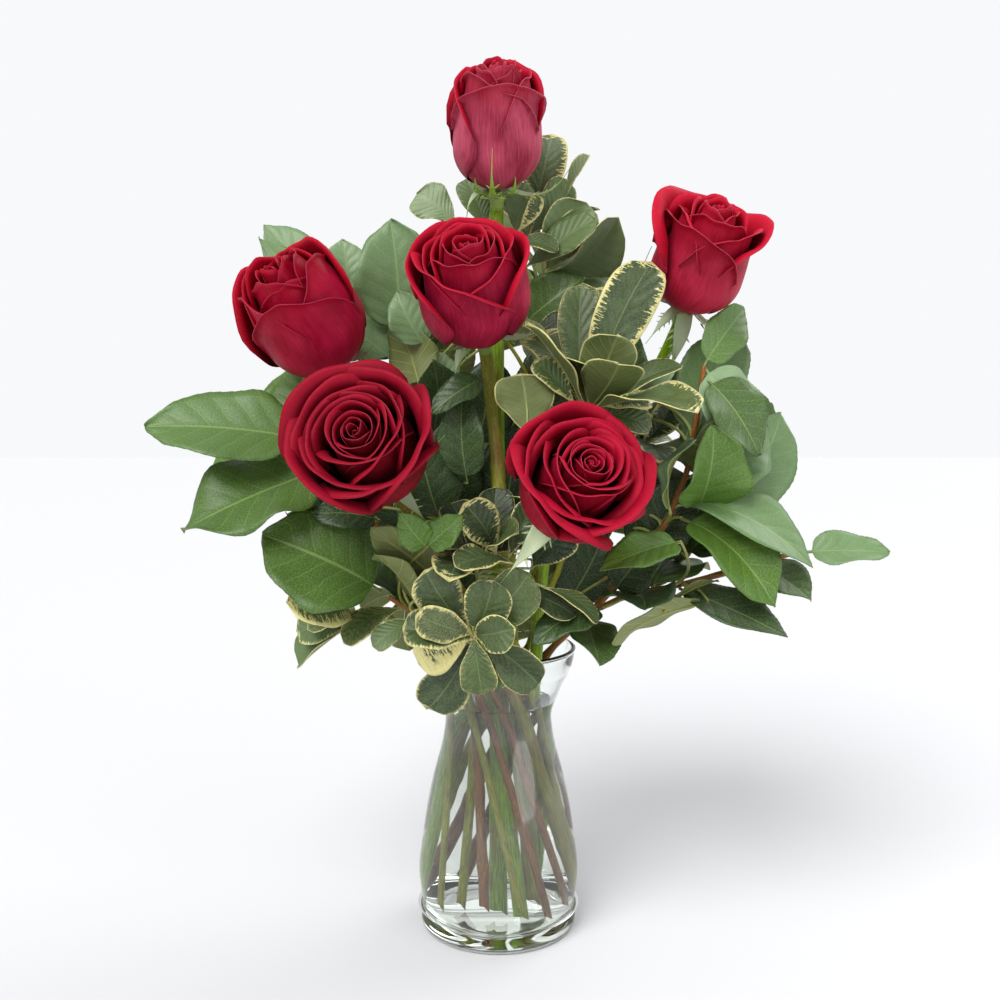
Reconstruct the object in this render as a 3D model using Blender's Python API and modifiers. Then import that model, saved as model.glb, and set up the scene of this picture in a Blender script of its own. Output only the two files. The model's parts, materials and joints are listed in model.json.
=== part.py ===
"""Six red roses with salal and variegated pittosporum, standing in a waisted clear glass vase of water.

The origin is at the middle of the vase's flat base, +Z is up, and -Y is the front of the arrangement.
Lengths in the tables are in millimetres, and MM turns them to metres.
"""

import math

import bmesh
import bpy
from mathutils import Matrix, Vector
from mathutils.bvhtree import BVHTree

MM = 0.001
GAP = 0.3  # left between pieces that touch
OBJECT_NAME = "roses_in_vase"

# The vase's outer side as radius and height, from the rim down, and its walls.
VASE_OUTER = (
    (48.5, 178), (45.8, 166), (39.0, 152), (34.1, 139), (33.6, 131), (35.9, 116), (41.5, 95),
    (45.7, 74), (48.8, 53), (50.7, 34), (51.2, 13), (50.2, 3), (47.6, 0),
)
VASE_WALL = 2.8
VASE_FLOOR = 8.5
VASE_STEPS = 28
WATER_TOP = 145.0

# In the vase the stems stand like the rulings of a hyperboloid, so that they pass each other at the neck.
# A ring is its distance from the axis at the neck and its lean there.
NECK_Z = 133.0
RINGS = {"outer": (22.5, 0.28), "inner": (12.0, 0.11), "middle": (0.0, 0.0)}
STEM_POINTS = 8  # above the neck
START_PULL, END_PULL = 0.8, 0.6  # how far a stem keeps its direction at the neck and under its tip
BRANCH_TAPER = 0.4  # share of its radius a woody branch loses from foot to tip
ROSE_STEM_SIDES, BRANCH_SIDES = 8, 6

# Roses: where the bloom sits, where it faces, its size, and the stem's ring, heading at the neck, foot height
# and radius. The mouth is the rim's share of the bloom's width. Sepals are their droop in degrees and length.
ROSES = {
    "rose_top": {
        "at": (-1, 23, 467), "faces": (0.0, -0.52, 0.85), "width": 60, "length": 75, "mouth": 0.72,
        "ring": "middle", "heading": 0, "foot": 12, "radius": 4.2, "sepals": (-8, 30),
        "through": ((0, 2, 250),),
    },
    "rose_left": {
        "at": (-103, 16, 360), "faces": (-0.40, -0.66, 0.64), "width": 76, "length": 80, "mouth": 0.74,
        "ring": "inner", "heading": 172, "foot": 12, "radius": 3.8, "sepals": (20, 26),
    },
    "rose_middle": {
        "at": (-10, -8, 373), "faces": (-0.12, -0.70, 0.70), "width": 72, "length": 74, "mouth": 0.84,
        "ring": "inner", "heading": 255, "foot": 14, "radius": 4.0, "sepals": (25, 28),
        "through": ((3, -12, 249),),
    },
    "rose_right": {
        "at": (117, 15, 392), "faces": (0.20, -0.58, 0.79), "width": 64, "length": 72, "mouth": 1.05,
        "ring": "outer", "heading": 34, "foot": 12, "radius": 3.8, "sepals": (35, 30),
    },
    "rose_low_left": {
        "at": (-68, -47, 293), "faces": (-0.16, -0.88, 0.44), "width": 82, "length": 60, "mouth": 0.92,
        "ring": "outer", "heading": 222, "foot": 13, "radius": 4.0, "sepals": (10, 30),
    },
    "rose_low_right": {
        "at": (37, -54, 273), "faces": (0.24, -0.84, 0.48), "width": 78, "length": 60, "mouth": 0.92,
        "ring": "outer", "heading": 288, "foot": 12, "radius": 4.0, "sepals": (12, 28),
    },
}
GUARD_PETALS = 5  # round a bloom's side
PETAL_STEP = 4.0  # where the edge of one lies on the next
PETAL_DIP = 5.0  # of the rim between two of them
BLOOM_STEPS = 20
CALYX_LENGTH = 13.0
STRAIGHT_TOP = 7.0  # of a stem, under its calyx
CALYX_STEPS = 10
SEPALS = 5
SEPAL_HALF = 3.6  # half its width
SEPAL_THICKNESS = 1.0

# Branches of salal: the stem's ring, heading, radius and foot, the points it passes above the neck, and its
# leaves. A leaf is where it sits along the stem, its tip, its width, the way its face looks, and its arch.
SALAL = {
    "salal_left": {
        "ring": "outer", "heading": 195, "foot": 16, "radius": 2.4,
        "through": ((-66, -2, 241), (-116, -8, 309)),
        "leaves": (
            (1.0, (-213, -18, 316), 43, (0.1, -0.75, 0.66), 5),
            (0.88, (-187, -34, 255), 48, (-0.2, -0.72, 0.66), 6),
            (0.84, (-182, 14, 283), 30, (0.0, -0.6, 0.8), 3),
            (0.94, (-127, 24, 363), 38, (-0.3, -0.95, 0.1), 4),
        ),
    },
    "salal_upper": {
        "ring": "inner", "heading": 110, "foot": 18, "radius": 2.6,
        "through": ((-34, 40, 272), (-66, 42, 371)),
        "leaves": (
            (0.98, (-70, 42, 449), 44, (0.0, -0.95, 0.3), 5),
            (0.9, (-157, 34, 440), 40, (0.1, -0.8, 0.6), 4),
            (0.72, (-40, -8, 357), 30, (0.3, -0.5, -0.8), 3),
            (0.62, (-76, 104, 339), 42, (-0.2, 0.5, 0.85), 8),
        ),
    },
    "salal_low_left": {
        "ring": "outer", "heading": 170, "foot": 14, "radius": 2.4,
        "through": ((-30, -22, 185), (-66, -30, 215)),
        "leaves": (
            (0.98, (-140, -34, 253), 52, (0.1, -0.7, 0.7), 8),
            (0.72, (-70, -62, 245), 32, (0.5, 0.2, 0.8), 4),
            (0.6, (-112, 34, 231), 44, (-0.2, 0.3, 0.9), 8),
        ),
    },
    "salal_right": {
        "ring": "outer", "heading": 345, "foot": 15, "radius": 2.6,
        "through": ((72, 0, 215), (110, -10, 271), (124, -14, 353)),
        "leaves": (
            (0.74, (138, -30, 317), 40, (0.5, -0.8, 0.3), 5),
            (0.72, (170, 16, 317), 44, (-0.1, -0.95, 0.2), 5),
            (0.68, (186, -44, 241), 38, (0.2, -0.45, 0.87), 8),
            (0.98, (156, -22, 299), 36, (0.5, -0.8, 0.35), 6),
            (0.8, (150, 66, 339), 40, (0.4, 0.5, 0.75), 6),
        ),
    },
    "salal_low_right": {
        "ring": "outer", "heading": 324, "foot": 14, "radius": 2.4,
        "through": ((58, -4, 201), (122, -10, 221), (188, -4, 239)),
        "leaves": (
            (1.0, (241, -10, 238), 28, (0.0, -0.7, 0.7), 2),
            (0.62, (168, -52, 195), 28, (0.2, -0.5, 0.84), 4),
            (0.5, (84, -62, 213), 36, (0.0, -0.5, 0.87), 4),
            (0.36, (58, -62, 181), 28, (0.3, -0.75, 0.6), 4),
            (0.56, (122, 60, 223), 44, (0.2, 0.3, 0.9), 8),
        ),
    },
}

# Sprigs of pittosporum: the stem as for salal, and its whorl. The whorl's leaves open from the stem's tip at
# angles from the tip's own direction, between the two given, and get longer outwards.
PITTOSPORUM = {
    "pittosporum_front": {
        "ring": "outer", "heading": 255, "foot": 20, "radius": 2.2,
        "through": ((10, -30, 187), (-13, -58, 199)), "tip": (-0.05, -0.95, -0.25),
        "leaves": 9, "opens": (50, 98), "longest": 56, "turn": 12,
    },
    "pittosporum_upper_right": {
        "ring": "inner", "heading": 325, "foot": 16, "radius": 2.2,
        "through": ((44, 6, 245), (52, -28, 323)), "tip": (0.1, -0.25, 0.96),
        "leaves": 8, "opens": (12, 50), "longest": 78, "turn": 75,
    },
    "pittosporum_top": {
        "ring": "inner", "heading": 50, "foot": 15, "radius": 2.3,
        "through": ((22, 20, 299), (30, 42, 412)), "tip": (0.3, 0.15, 0.94),
        "leaves": 8, "opens": (10, 62), "longest": 76, "turn": 0,
    },
    "pittosporum_low_left": {
        "ring": "outer", "heading": 145, "foot": 24, "radius": 2.0,
        "through": ((-38, -4, 185), (-82, -14, 199)), "tip": (-0.95, -0.25, 0.15),
        "leaves": 6, "opens": (14, 56), "longest": 62, "turn": 40,
    },
    "pittosporum_back": {
        "ring": "outer", "heading": 70, "foot": 18, "radius": 2.2,
        "through": ((-8, 44, 235), (-14, 72, 309)), "tip": (0.0, 0.7, 0.7),
        "leaves": 8, "opens": (20, 86), "longest": 56, "turn": 20,
    },
    "pittosporum_centre": {
        "ring": "inner", "heading": 210, "foot": 22, "radius": 2.0,
        "through": ((-2, -12, 185), (-14, -42, 237)), "tip": (-0.1, -0.55, 0.83),
        "leaves": 6, "opens": (25, 80), "longest": 50, "turn": 65,
    },
    "pittosporum_right": {
        "ring": "outer", "heading": 10, "foot": 17, "radius": 2.2,
        "through": ((66, 22, 235), (90, 26, 299)), "tip": (0.35, 0.25, 0.9),
        "leaves": 8, "opens": (14, 84), "longest": 60, "turn": 34,
    },
}
GOLDEN_ANGLE = 137.5

LEAF_THICKNESS = 1.0
LEAF_CLEARANCE = 0.5  # kept on each side of a leaf that is being placed
PETIOLE_HALF = 1.0
LEAF_FOLD = 0.22  # how far a blade's halves rise from its midrib
WHORL_WIDTH = 0.42  # of a leaf, as a share of its length
WHORL_ARCH = 2.5

COLOURS = {
    "glass": (0.86, 0.90, 0.88), "water": (0.80, 0.88, 0.88), "petal": (0.55, 0.0, 0.015),
    "calyx": (0.33, 0.45, 0.10), "rose_stem": (0.16, 0.25, 0.06), "salal_stem": (0.16, 0.07, 0.03),
    "salal_leaf": (0.06, 0.19, 0.03), "pittosporum_stem": (0.20, 0.15, 0.08),
    "pittosporum_leaf": (0.12, 0.20, 0.08),
}
ROUGHNESS = {"glass": 0.02, "water": 0.0, "petal": 0.6}


def material(name):
    found = bpy.data.materials.get(name)
    if found:
        return found
    made = bpy.data.materials.new(name)
    made.use_nodes = True
    shader = made.node_tree.nodes["Principled BSDF"]
    shader.inputs["Base Color"].default_value = (*COLOURS[name], 1.0)
    shader.inputs["Roughness"].default_value = ROUGHNESS.get(name, 0.45)
    if name in ("glass", "water"):
        shader.inputs["Transmission Weight"].default_value = 1.0
    return made


def add_object(name, data, collection, material_name=None):
    made = bpy.data.objects.new(name, data)
    collection.objects.link(made)
    if material_name:
        data.materials.append(material(material_name))
    return made


def evaluated_mesh(source):
    graph = bpy.context.evaluated_depsgraph_get()
    graph.update()
    return bpy.data.meshes.new_from_object(source.evaluated_get(graph), depsgraph=graph)


def boolean(target, cutter, operation):
    modifier = target.modifiers.new(operation.lower(), "BOOLEAN")
    modifier.operation = operation
    modifier.solver = "EXACT"
    modifier.object = cutter


def apply_modifiers(target):
    """Gives the object its evaluated mesh, and removes the modifiers and the cutters they used."""
    cutters = [m.object for m in target.modifiers if m.type == "BOOLEAN"]
    finished = evaluated_mesh(target)
    target.modifiers.clear()
    target.data = finished
    for cutter in cutters:
        bpy.data.objects.remove(cutter)


def turned(name, profile, steps, collection, material_name):
    """A profile of radius and height in millimetres, from top to bottom, turned about Z with a Screw."""
    mesh = bpy.data.meshes.new(name)
    runs = [i for i in range(len(profile) - 1) if profile[i][0] or profile[i + 1][0]]  # none on the axis
    mesh.from_pydata(
        [(radius * MM, 0, height * MM) for radius, height in profile], [(i, i + 1) for i in runs], []
    )
    made = add_object(name, mesh, collection, material_name)
    screw = made.modifiers.new("turn", "SCREW")
    screw.steps = screw.render_steps = steps
    screw.use_merge_vertices = True
    screw.merge_threshold = 0.00005
    screw.use_smooth_shade = True
    return made


def bevelled_curve(name, points, radii, sides, collection, material_name=None):
    """A poly curve through the points with filled caps, turned to a closed mesh."""
    curve = bpy.data.curves.new(name, "CURVE")
    curve.dimensions = "3D"
    curve.bevel_depth = MM
    curve.bevel_resolution = sides // 2 - 2
    curve.use_fill_caps = True
    spline = curve.splines.new("POLY")
    spline.points.add(len(points) - 1)
    for place, point, radius in zip(spline.points, points, radii):
        place.co = (*(point * MM), 1)
        place.radius = radius
    source = add_object(name + "_curve", curve, collection)
    mesh = evaluated_mesh(source)
    bpy.data.objects.remove(source)
    welded = bmesh.new()
    welded.from_mesh(mesh)
    bmesh.ops.remove_doubles(welded, verts=welded.verts, dist=0.00002)
    bmesh.ops.recalc_face_normals(welded, faces=welded.faces)
    welded.to_mesh(mesh)
    welded.free()
    mesh.shade_smooth()
    mesh.set_sharp_from_angle(angle=math.radians(50))
    return add_object(name, mesh, collection, material_name)


def standing_line(spec):
    """The foot of a stem on the glass floor and its place at the neck, on its ring's hyperboloid."""
    distance, lean = RINGS[spec["ring"]]
    heading = math.radians(spec["heading"])
    way = Vector((math.cos(heading), math.sin(heading), 0))
    neck = Vector((-way.y, way.x, 0)) * distance + Vector((0, 0, NECK_Z))
    rise = NECK_Z - spec["foot"]
    foot = neck - way * lean * rise - Vector((0, 0, rise))
    return foot, neck


def smooth_path(points, first_way, last_way, count):
    """Points on a smooth curve through the given ones, with its direction set at both ends."""
    ways = [first_way.normalized() * START_PULL]
    ways += [(after - before).normalized() for before, after in zip(points, points[2:])]
    ways.append(last_way.normalized() * END_PULL)
    lengths = [(b - a).length for a, b in zip(points, points[1:])]
    total = sum(lengths)
    path = []
    for index in range(count + 1):
        distance = total * index / count
        span = 0
        while span < len(lengths) - 1 and distance > lengths[span]:
            distance -= lengths[span]
            span += 1
        u = min(1.0, distance / lengths[span])
        start, end = points[span], points[span + 1]
        pull_start, pull_end = ways[span] * lengths[span], ways[span + 1] * lengths[span]
        path.append(
            start * (2 * u**3 - 3 * u**2 + 1) + pull_start * (u**3 - 2 * u**2 + u)
            + end * (3 * u**2 - 2 * u**3) + pull_end * (u**3 - u**2)
        )
    return path


def stem_path(spec, through, last_way):
    foot, neck = standing_line(spec)
    return [foot, *smooth_path([neck, *through], neck - foot, last_way, STEM_POINTS)]


def along_path(path, share):
    """The point and the direction at a share of the path's length above the neck."""
    upper = path[1:]
    place = share * (len(upper) - 1)
    index = min(int(place), len(upper) - 2)
    way = upper[index + 1] - upper[index]
    return upper[index] + way * (place - index), way.normalized()


def stem_radii(spec, count, taper):
    return [spec["radius"] * (1 - taper * index / (count - 1)) for index in range(count)]


def add_stem(name, spec, path, taper, sides, collection, cutters, material_name):
    radii = stem_radii(spec, len(path), taper)
    made = bevelled_curve(name + "_stem", path, radii, sides, collection, material_name)
    below = path[0] - (path[1] - path[0]).normalized() * GAP
    above_water = next(i for i, point in enumerate(path) if point.z > WATER_TOP + 3)
    course = [below, *path[1:above_water + 1]]
    hole = bevelled_curve(name + "_hole", course, [r + GAP for r in radii], sides, cutters)
    hole.hide_render = True
    hole.display_type = "WIRE"
    return made, hole


def facing_matrix(at, faces, turn=0.0):
    """A frame with its Z along the facing direction and its X to the object's right."""
    z = Vector(faces).normalized()
    x = Vector((1, 0, 0)) - z * z.x
    if x.length < 0.2:
        x = Vector((0, 1, 0)) - z * z.y
    x.normalize()
    y = z.cross(x)
    frame = Matrix((x, y, z)).transposed().to_4x4()
    frame.translation = Vector(at) * MM
    return frame @ Matrix.Rotation(math.radians(turn), 4, "Z")


def grid_object(name, along, across, shape, collection, material_name=None):
    """A grid whose points shape(s, t) places, with s from 0 to 1 and t from -1 to 1."""
    mesh = bpy.data.meshes.new(name)
    cage = bmesh.new()
    bmesh.ops.create_grid(cage, x_segments=along, y_segments=across, size=1.0)
    for vertex in cage.verts:
        vertex.co = shape((vertex.co.x + 1) / 2, vertex.co.y) * MM
    bmesh.ops.recalc_face_normals(cage, faces=cage.faces)
    cage.to_mesh(mesh)
    cage.free()
    return add_object(name, mesh, collection, material_name)


def thicken(target, thickness):
    solidify = target.modifiers.new("thickness", "SOLIDIFY")
    solidify.thickness = thickness * MM
    solidify.offset = 0.0
    solidify.use_even_offset = False


def radius_at(profile, height):
    """The radius of a profile's outer side at a height, between its points."""
    for (upper_radius, upper), (lower_radius, lower) in zip(profile, profile[1:]):
        if lower <= height <= upper:
            share = (height - lower) / (upper - lower)
            return lower_radius + (upper_radius - lower_radius) * share
    return profile[0][0]


def bloom_profile(spec):
    """The rose's turned core: a cup from the calyx up to a rounded, slightly hollow mouth."""
    radius, length, mouth = spec["width"] / 2, spec["length"], spec["mouth"]
    rim = radius * mouth
    return (
        (0.0, length * 0.92), (rim * 0.45, length * 0.95), (rim * 0.85, length * 0.93),
        (radius * (0.25 + 0.72 * mouth), length * 0.80), (radius * 0.97, length * 0.56),
        (radius * 0.90, length * 0.34), (radius * 0.60, length * 0.12), (5.0, 0.0), (0.0, 0.0),
    )


def add_bloom(name, spec, collection):
    """The petals' closed outer shape: a turned cup whose side steps in where one petal wraps another."""
    made = turned(name + "_bloom", bloom_profile(spec), BLOOM_STEPS, collection, "petal")
    apply_modifiers(made)
    length = spec["length"] * MM
    for vertex in made.data.vertices:
        x, y, z = vertex.co
        out = math.hypot(x, y)
        if out < 0.3 * spec["width"] / 2 * MM:
            continue
        height = z / length
        around = (math.atan2(y, x) / (2 * math.pi) * GUARD_PETALS + 0.6 * height) % 1.0
        rim = max(0.0, height - 0.3)
        step = PETAL_STEP * MM * (around - 0.5) * (0.5 + rim)
        dip = PETAL_DIP * MM * abs(around - 0.5) * 2 * rim
        vertex.co = (x * (1 + step / out), y * (1 + step / out), z - dip)
    made.matrix_world = facing_matrix(spec["at"], spec["faces"])
    return made


def sepal(spec, index):
    """A sepal leaves the receptacle below the bloom and bends back; every other one is longer."""
    droop, length = spec["sepals"]
    length *= 1.0 if index % 2 else 0.8
    angle = 2 * math.pi * (index + 0.75) / SEPALS
    out = Vector((math.cos(angle), math.sin(angle), 0))
    side = Vector((-out.y, out.x, 0))

    def shape(s, t):
        half = SEPAL_HALF * math.sin(math.pi * min(1.0, 0.25 + 0.72 * s)) + 0.3
        bend = math.radians(droop) * (0.4 + s)
        reach = 3.0 + length * s * math.cos(bend)
        return out * reach + side * half * t + Vector((0, 0, -2.2 - length * s * math.sin(bend)))

    return shape


def add_calyx(name, spec, collection, cutters):
    r = spec["radius"]
    profile = (
        (0.0, -GAP), (5.4, -GAP), (6.4, -4.0), (5.6, -9.0), (r, -CALYX_LENGTH), (0.0, -CALYX_LENGTH),
    )
    made = turned(name + "_calyx", profile, CALYX_STEPS, collection, "calyx")
    for index in range(SEPALS):
        piece = grid_object(f"{name}_sepal_{index}", 3, 1, sepal(spec, index), cutters)
        thicken(piece, SEPAL_THICKNESS)
        piece.hide_render = True
        piece.display_type = "WIRE"
        boolean(made, piece, "UNION")
    apply_modifiers(made)
    made.matrix_world = facing_matrix(spec["at"], spec["faces"])
    return made


def leaf_shape(base, tip, width, faces, arch, outline):
    """A blade from base to tip that arches over its upper face and folds up a little along its midrib."""
    chord = tip - base
    up = (faces - chord * faces.dot(chord) / chord.length_squared).normalized()
    side = chord.normalized().cross(up)

    def shape(s, t):
        half = outline(s) * width / 2 + PETIOLE_HALF * (1 - s) + 0.25
        lift = 4 * arch * s * (1 - s) + LEAF_FOLD * half * abs(t)
        return base + chord * s + up * lift + side * half * t

    return shape


def ovate(s):
    """The outline of a salal leaf: a bare petiole, broadest before the middle, with a drawn-out tip."""
    u = max(0.0, (s - 0.10) / 0.90)
    return 2.38 * u**0.62 * (1 - u) ** 0.85 * (1 + 0.25 * (1 - u)) if u < 1 else 0.0


def obovate(s):
    """The outline of a pittosporum leaf: a long taper from the base and a rounded end."""
    u = max(0.0, (s - 0.06) / 0.94)
    return 2.56 * u**1.25 * (1 - u) ** 0.42 if u < 1 else 0.0


def thick_sheet(shape, along, across, half):
    """The leaf's two faces as plain triangles, moved apart, to try it against its neighbours."""
    rows = [[shape(i / along, 2 * j / across - 1) for j in range(across + 1)] for i in range(along + 1)]
    points, faces = [], []
    for way in (-half, half):
        first = len(points)
        for i, row in enumerate(rows):
            for j, point in enumerate(row):
                ahead = rows[min(i + 1, along)][j] - rows[max(i - 1, 0)][j]
                beside = row[min(j + 1, across)] - row[max(j - 1, 0)]
                points.append((point + ahead.cross(beside).normalized() * way) * MM)
        for i in range(along):
            for j in range(across):
                corner = first + i * (across + 1) + j
                faces.append((corner, corner + 1, corner + across + 2, corner + across + 1))
    return BVHTree.FromPolygons(points, faces)


def swings():
    """Small turns to try, nearest first: about the way the leaf looks, then up and down."""
    yield 0, 0
    for reach in range(3, 60, 3):
        for share in range(12):
            angle = math.radians(30 * share)
            yield reach * math.cos(angle), reach * math.sin(angle)


def place_leaf(base, tip, width, faces, arch, outline, neighbours, counts):
    """Turns the leaf about its base until it is clear of its neighbours, as leaves lie in a bunch."""
    chord, faces = tip - base, Vector(faces).normalized()
    side = chord.cross(faces).normalized()
    for yaw, pitch in swings():
        turn = Matrix.Rotation(math.radians(yaw), 3, faces) @ Matrix.Rotation(math.radians(pitch), 3, side)
        shape = leaf_shape(base, base + turn @ chord, width, turn @ faces, arch, outline)
        sheet = thick_sheet(shape, *counts, LEAF_THICKNESS / 2 + LEAF_CLEARANCE)
        if not any(sheet.overlap(other) for other in neighbours):
            return shape
    return leaf_shape(base, tip, width, faces, arch, outline)


def tree_of(target):
    graph = bpy.context.evaluated_depsgraph_get()
    graph.update()
    mesh = target.evaluated_get(graph).to_mesh()
    points = [target.matrix_world @ vertex.co for vertex in mesh.vertices]
    tree = BVHTree.FromPolygons(points, [tuple(face.vertices) for face in mesh.polygons])
    target.evaluated_get(graph).to_mesh_clear()
    return tree


def add_salal_leaves(name, spec, path, collection, neighbours):
    for index, (share, tip, width, faces, arch) in enumerate(spec["leaves"], 1):
        start, stem_way = along_path(path, share)
        tip = Vector(tip)
        way = (tip - start).normalized()
        slant = 1.0 if share == 1.0 else max(0.4, way.cross(stem_way).length)
        base = start + way * (spec["radius"] * (1 - BRANCH_TAPER * share) + PETIOLE_HALF + GAP) / slant
        shape = place_leaf(base, tip, width, faces, arch, ovate, neighbours, (8, 2))
        leaf = grid_object(f"{name}_leaf_{index}", 8, 2, shape, collection, "salal_leaf")
        thicken(leaf, LEAF_THICKNESS)
        leaf.data.shade_smooth()
        neighbours.append(tree_of(leaf))


def whorl_leaves(spec, hub, neighbours):
    """The shapes of a whorl's leaves, each turned by the golden angle from the one before."""
    axis = Vector(spec["tip"]).normalized()
    frame = facing_matrix((0, 0, 0), axis, spec["turn"]).to_3x3()
    narrow, wide = spec["opens"]
    count = spec["leaves"]
    for index in range(count):
        share = index / (count - 1)
        opening = math.radians(narrow + (wide - narrow) * share**0.7)
        azimuth = math.radians(GOLDEN_ANGLE * index)
        out = Vector((math.cos(azimuth), math.sin(azimuth), 0))
        way = frame @ (out * math.sin(opening) + Vector((0, 0, math.cos(opening))))
        faces = frame @ (Vector((0, 0, math.sin(opening))) - out * math.cos(opening))
        length = spec["longest"] * (0.62 + 0.38 * share)
        base = hub + way * 0.4
        tip = hub + way * length
        yield place_leaf(base, tip, length * WHORL_WIDTH, faces, WHORL_ARCH, obovate, neighbours, (6, 2))


def add_whorl(name, spec, path, collection, cutters, neighbours):
    axis = Vector(spec["tip"]).normalized()
    radius = spec["radius"] + 0.4
    hub = path[-1] + axis * (radius + GAP)
    ball = bmesh.new()
    bmesh.ops.create_icosphere(ball, subdivisions=1, radius=radius * MM)
    bmesh.ops.translate(ball, verts=ball.verts, vec=hub * MM)
    mesh = bpy.data.meshes.new(name + "_leaves")
    ball.to_mesh(mesh)
    ball.free()
    made = add_object(name + "_leaves", mesh, collection, "pittosporum_leaf")
    for index, shape in enumerate(whorl_leaves(spec, hub, neighbours)):
        leaf = grid_object(f"{name}_blade_{index}", 6, 2, shape, cutters)
        thicken(leaf, LEAF_THICKNESS)
        leaf.hide_render = True
        leaf.display_type = "WIRE"
        boolean(made, leaf, "UNION")
    apply_modifiers(made)
    neighbours.append(tree_of(made))
    return made


def inner_radius(height):
    """The radius of the vase's inner side at a height."""
    return radius_at(VASE_OUTER, height) - VASE_WALL


def add_vase(collection):
    """A thick-based glass turned from one profile: down the outer side, across the base and up the inner."""
    rim, top = VASE_OUTER[0]
    heights = [height for _, height in reversed(VASE_OUTER) if 20 < height < top]
    inner = [(inner_radius(height), height) for height in heights]
    floor = [(0.0, VASE_FLOOR), (inner_radius(12) - 6, VASE_FLOOR), (inner_radius(14), VASE_FLOOR + 5)]
    lip = [(rim - VASE_WALL + 0.5, top + 0.6), (rim - 0.6, top + 0.8)]
    profile = [*VASE_OUTER, (0.0, 0.0), *floor, *inner, *lip, VASE_OUTER[0]]
    return turned("vase", profile, VASE_STEPS, collection, "glass")


def add_water(collection, holes):
    """The water fills the vase to above the neck, less the stems that stand in it."""
    heights = [WATER_TOP, *(height for _, height in VASE_OUTER if 20 < height < WATER_TOP - 2)]
    side = [(inner_radius(height) - GAP, height) for height in heights]
    low = VASE_FLOOR + GAP
    floor = [(inner_radius(14) - GAP, low + 5), (inner_radius(12) - 6, low), (0.0, low)]
    water = turned("water", [(0.0, WATER_TOP), *side, *floor], VASE_STEPS, collection, "water")
    for hole in holes:
        boolean(water, hole, "DIFFERENCE")
    return water


def main():
    for old in list(bpy.data.objects):
        bpy.data.objects.remove(old)
    collection = bpy.data.collections.new(OBJECT_NAME)
    cutters = bpy.data.collections.new("cutters")
    for made in (collection, cutters):
        bpy.context.scene.collection.children.link(made)

    vase = add_vase(collection)
    holes, solid = [], [vase]
    for name, spec in ROSES.items():
        faces = Vector(spec["faces"]).normalized()
        end = Vector(spec["at"]) - faces * (CALYX_LENGTH + GAP)
        through = [*(Vector(p) for p in spec.get("through", ())), end - faces * STRAIGHT_TOP]
        path = [*stem_path(spec, through, faces), end]
        stem, hole = add_stem(name, spec, path, 0.0, ROSE_STEM_SIDES, collection, cutters, "rose_stem")
        holes.append(hole)
        solid += [stem, add_calyx(name, spec, collection, cutters), add_bloom(name, spec, collection)]

    paths = {}
    for name, spec in (SALAL | PITTOSPORUM).items():
        through = [Vector(p) for p in spec["through"]]
        last_way = Vector(spec["tip"]) if "tip" in spec else through[-1] - through[-2]
        paths[name] = stem_path(spec, through, last_way)
        bark = "pittosporum_stem" if "tip" in spec else "salal_stem"
        stem, hole = add_stem(
            name, spec, paths[name], BRANCH_TAPER, BRANCH_SIDES, collection, cutters, bark
        )
        holes.append(hole)
        solid.append(stem)

    neighbours = [tree_of(piece) for piece in solid]
    for name, spec in SALAL.items():
        add_salal_leaves(name, spec, paths[name], collection, neighbours)
    for name, spec in PITTOSPORUM.items():
        add_whorl(name, spec, paths[name], collection, cutters, neighbours)
    add_water(collection, holes)


main()
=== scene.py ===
import json
import math
import random
from functools import partial

import bpy
import numpy as np
from mathutils import Matrix, Vector
from mathutils.bvhtree import BVHTree

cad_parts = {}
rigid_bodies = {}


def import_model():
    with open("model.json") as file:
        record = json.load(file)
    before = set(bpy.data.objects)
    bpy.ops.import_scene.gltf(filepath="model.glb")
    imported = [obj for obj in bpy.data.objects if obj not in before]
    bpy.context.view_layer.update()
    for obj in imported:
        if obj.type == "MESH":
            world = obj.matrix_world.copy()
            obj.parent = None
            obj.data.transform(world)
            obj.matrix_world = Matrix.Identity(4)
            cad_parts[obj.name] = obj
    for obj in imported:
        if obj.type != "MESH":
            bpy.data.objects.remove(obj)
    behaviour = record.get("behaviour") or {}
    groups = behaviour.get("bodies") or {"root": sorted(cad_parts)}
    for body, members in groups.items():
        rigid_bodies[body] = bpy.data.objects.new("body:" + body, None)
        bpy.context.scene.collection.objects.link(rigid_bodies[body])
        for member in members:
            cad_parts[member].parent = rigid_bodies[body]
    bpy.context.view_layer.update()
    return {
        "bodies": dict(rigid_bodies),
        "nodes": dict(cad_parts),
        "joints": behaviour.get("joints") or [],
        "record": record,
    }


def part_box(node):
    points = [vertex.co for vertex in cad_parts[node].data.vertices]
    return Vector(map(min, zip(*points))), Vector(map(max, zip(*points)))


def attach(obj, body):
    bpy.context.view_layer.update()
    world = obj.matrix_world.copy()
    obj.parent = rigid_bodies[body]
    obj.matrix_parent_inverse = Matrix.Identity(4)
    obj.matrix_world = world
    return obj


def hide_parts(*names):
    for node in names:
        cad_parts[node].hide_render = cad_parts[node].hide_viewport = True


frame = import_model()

nodes = frame["nodes"]
mm = 0.001
goldenAngle = math.radians(137.5)
roseNames = ("rose_top", "rose_left", "rose_middle", "rose_right", "rose_low_left", "rose_low_right")
salalNames = ("salal_left", "salal_upper", "salal_low_left", "salal_right", "salal_low_right")
sprigNames = tuple(
    "pittosporum_" + place
    for place in ("front", "upper_right", "top", "low_left", "back", "centre", "right")
)


# Colours and shader nodes

def hexColour(code):
    values = [int(code[i:i + 2], 16) / 255 for i in (1, 3, 5)]
    return (*[v / 12.92 if v <= 0.04045 else ((v + 0.055) / 1.055) ** 2.4 for v in values], 1.0)


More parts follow.
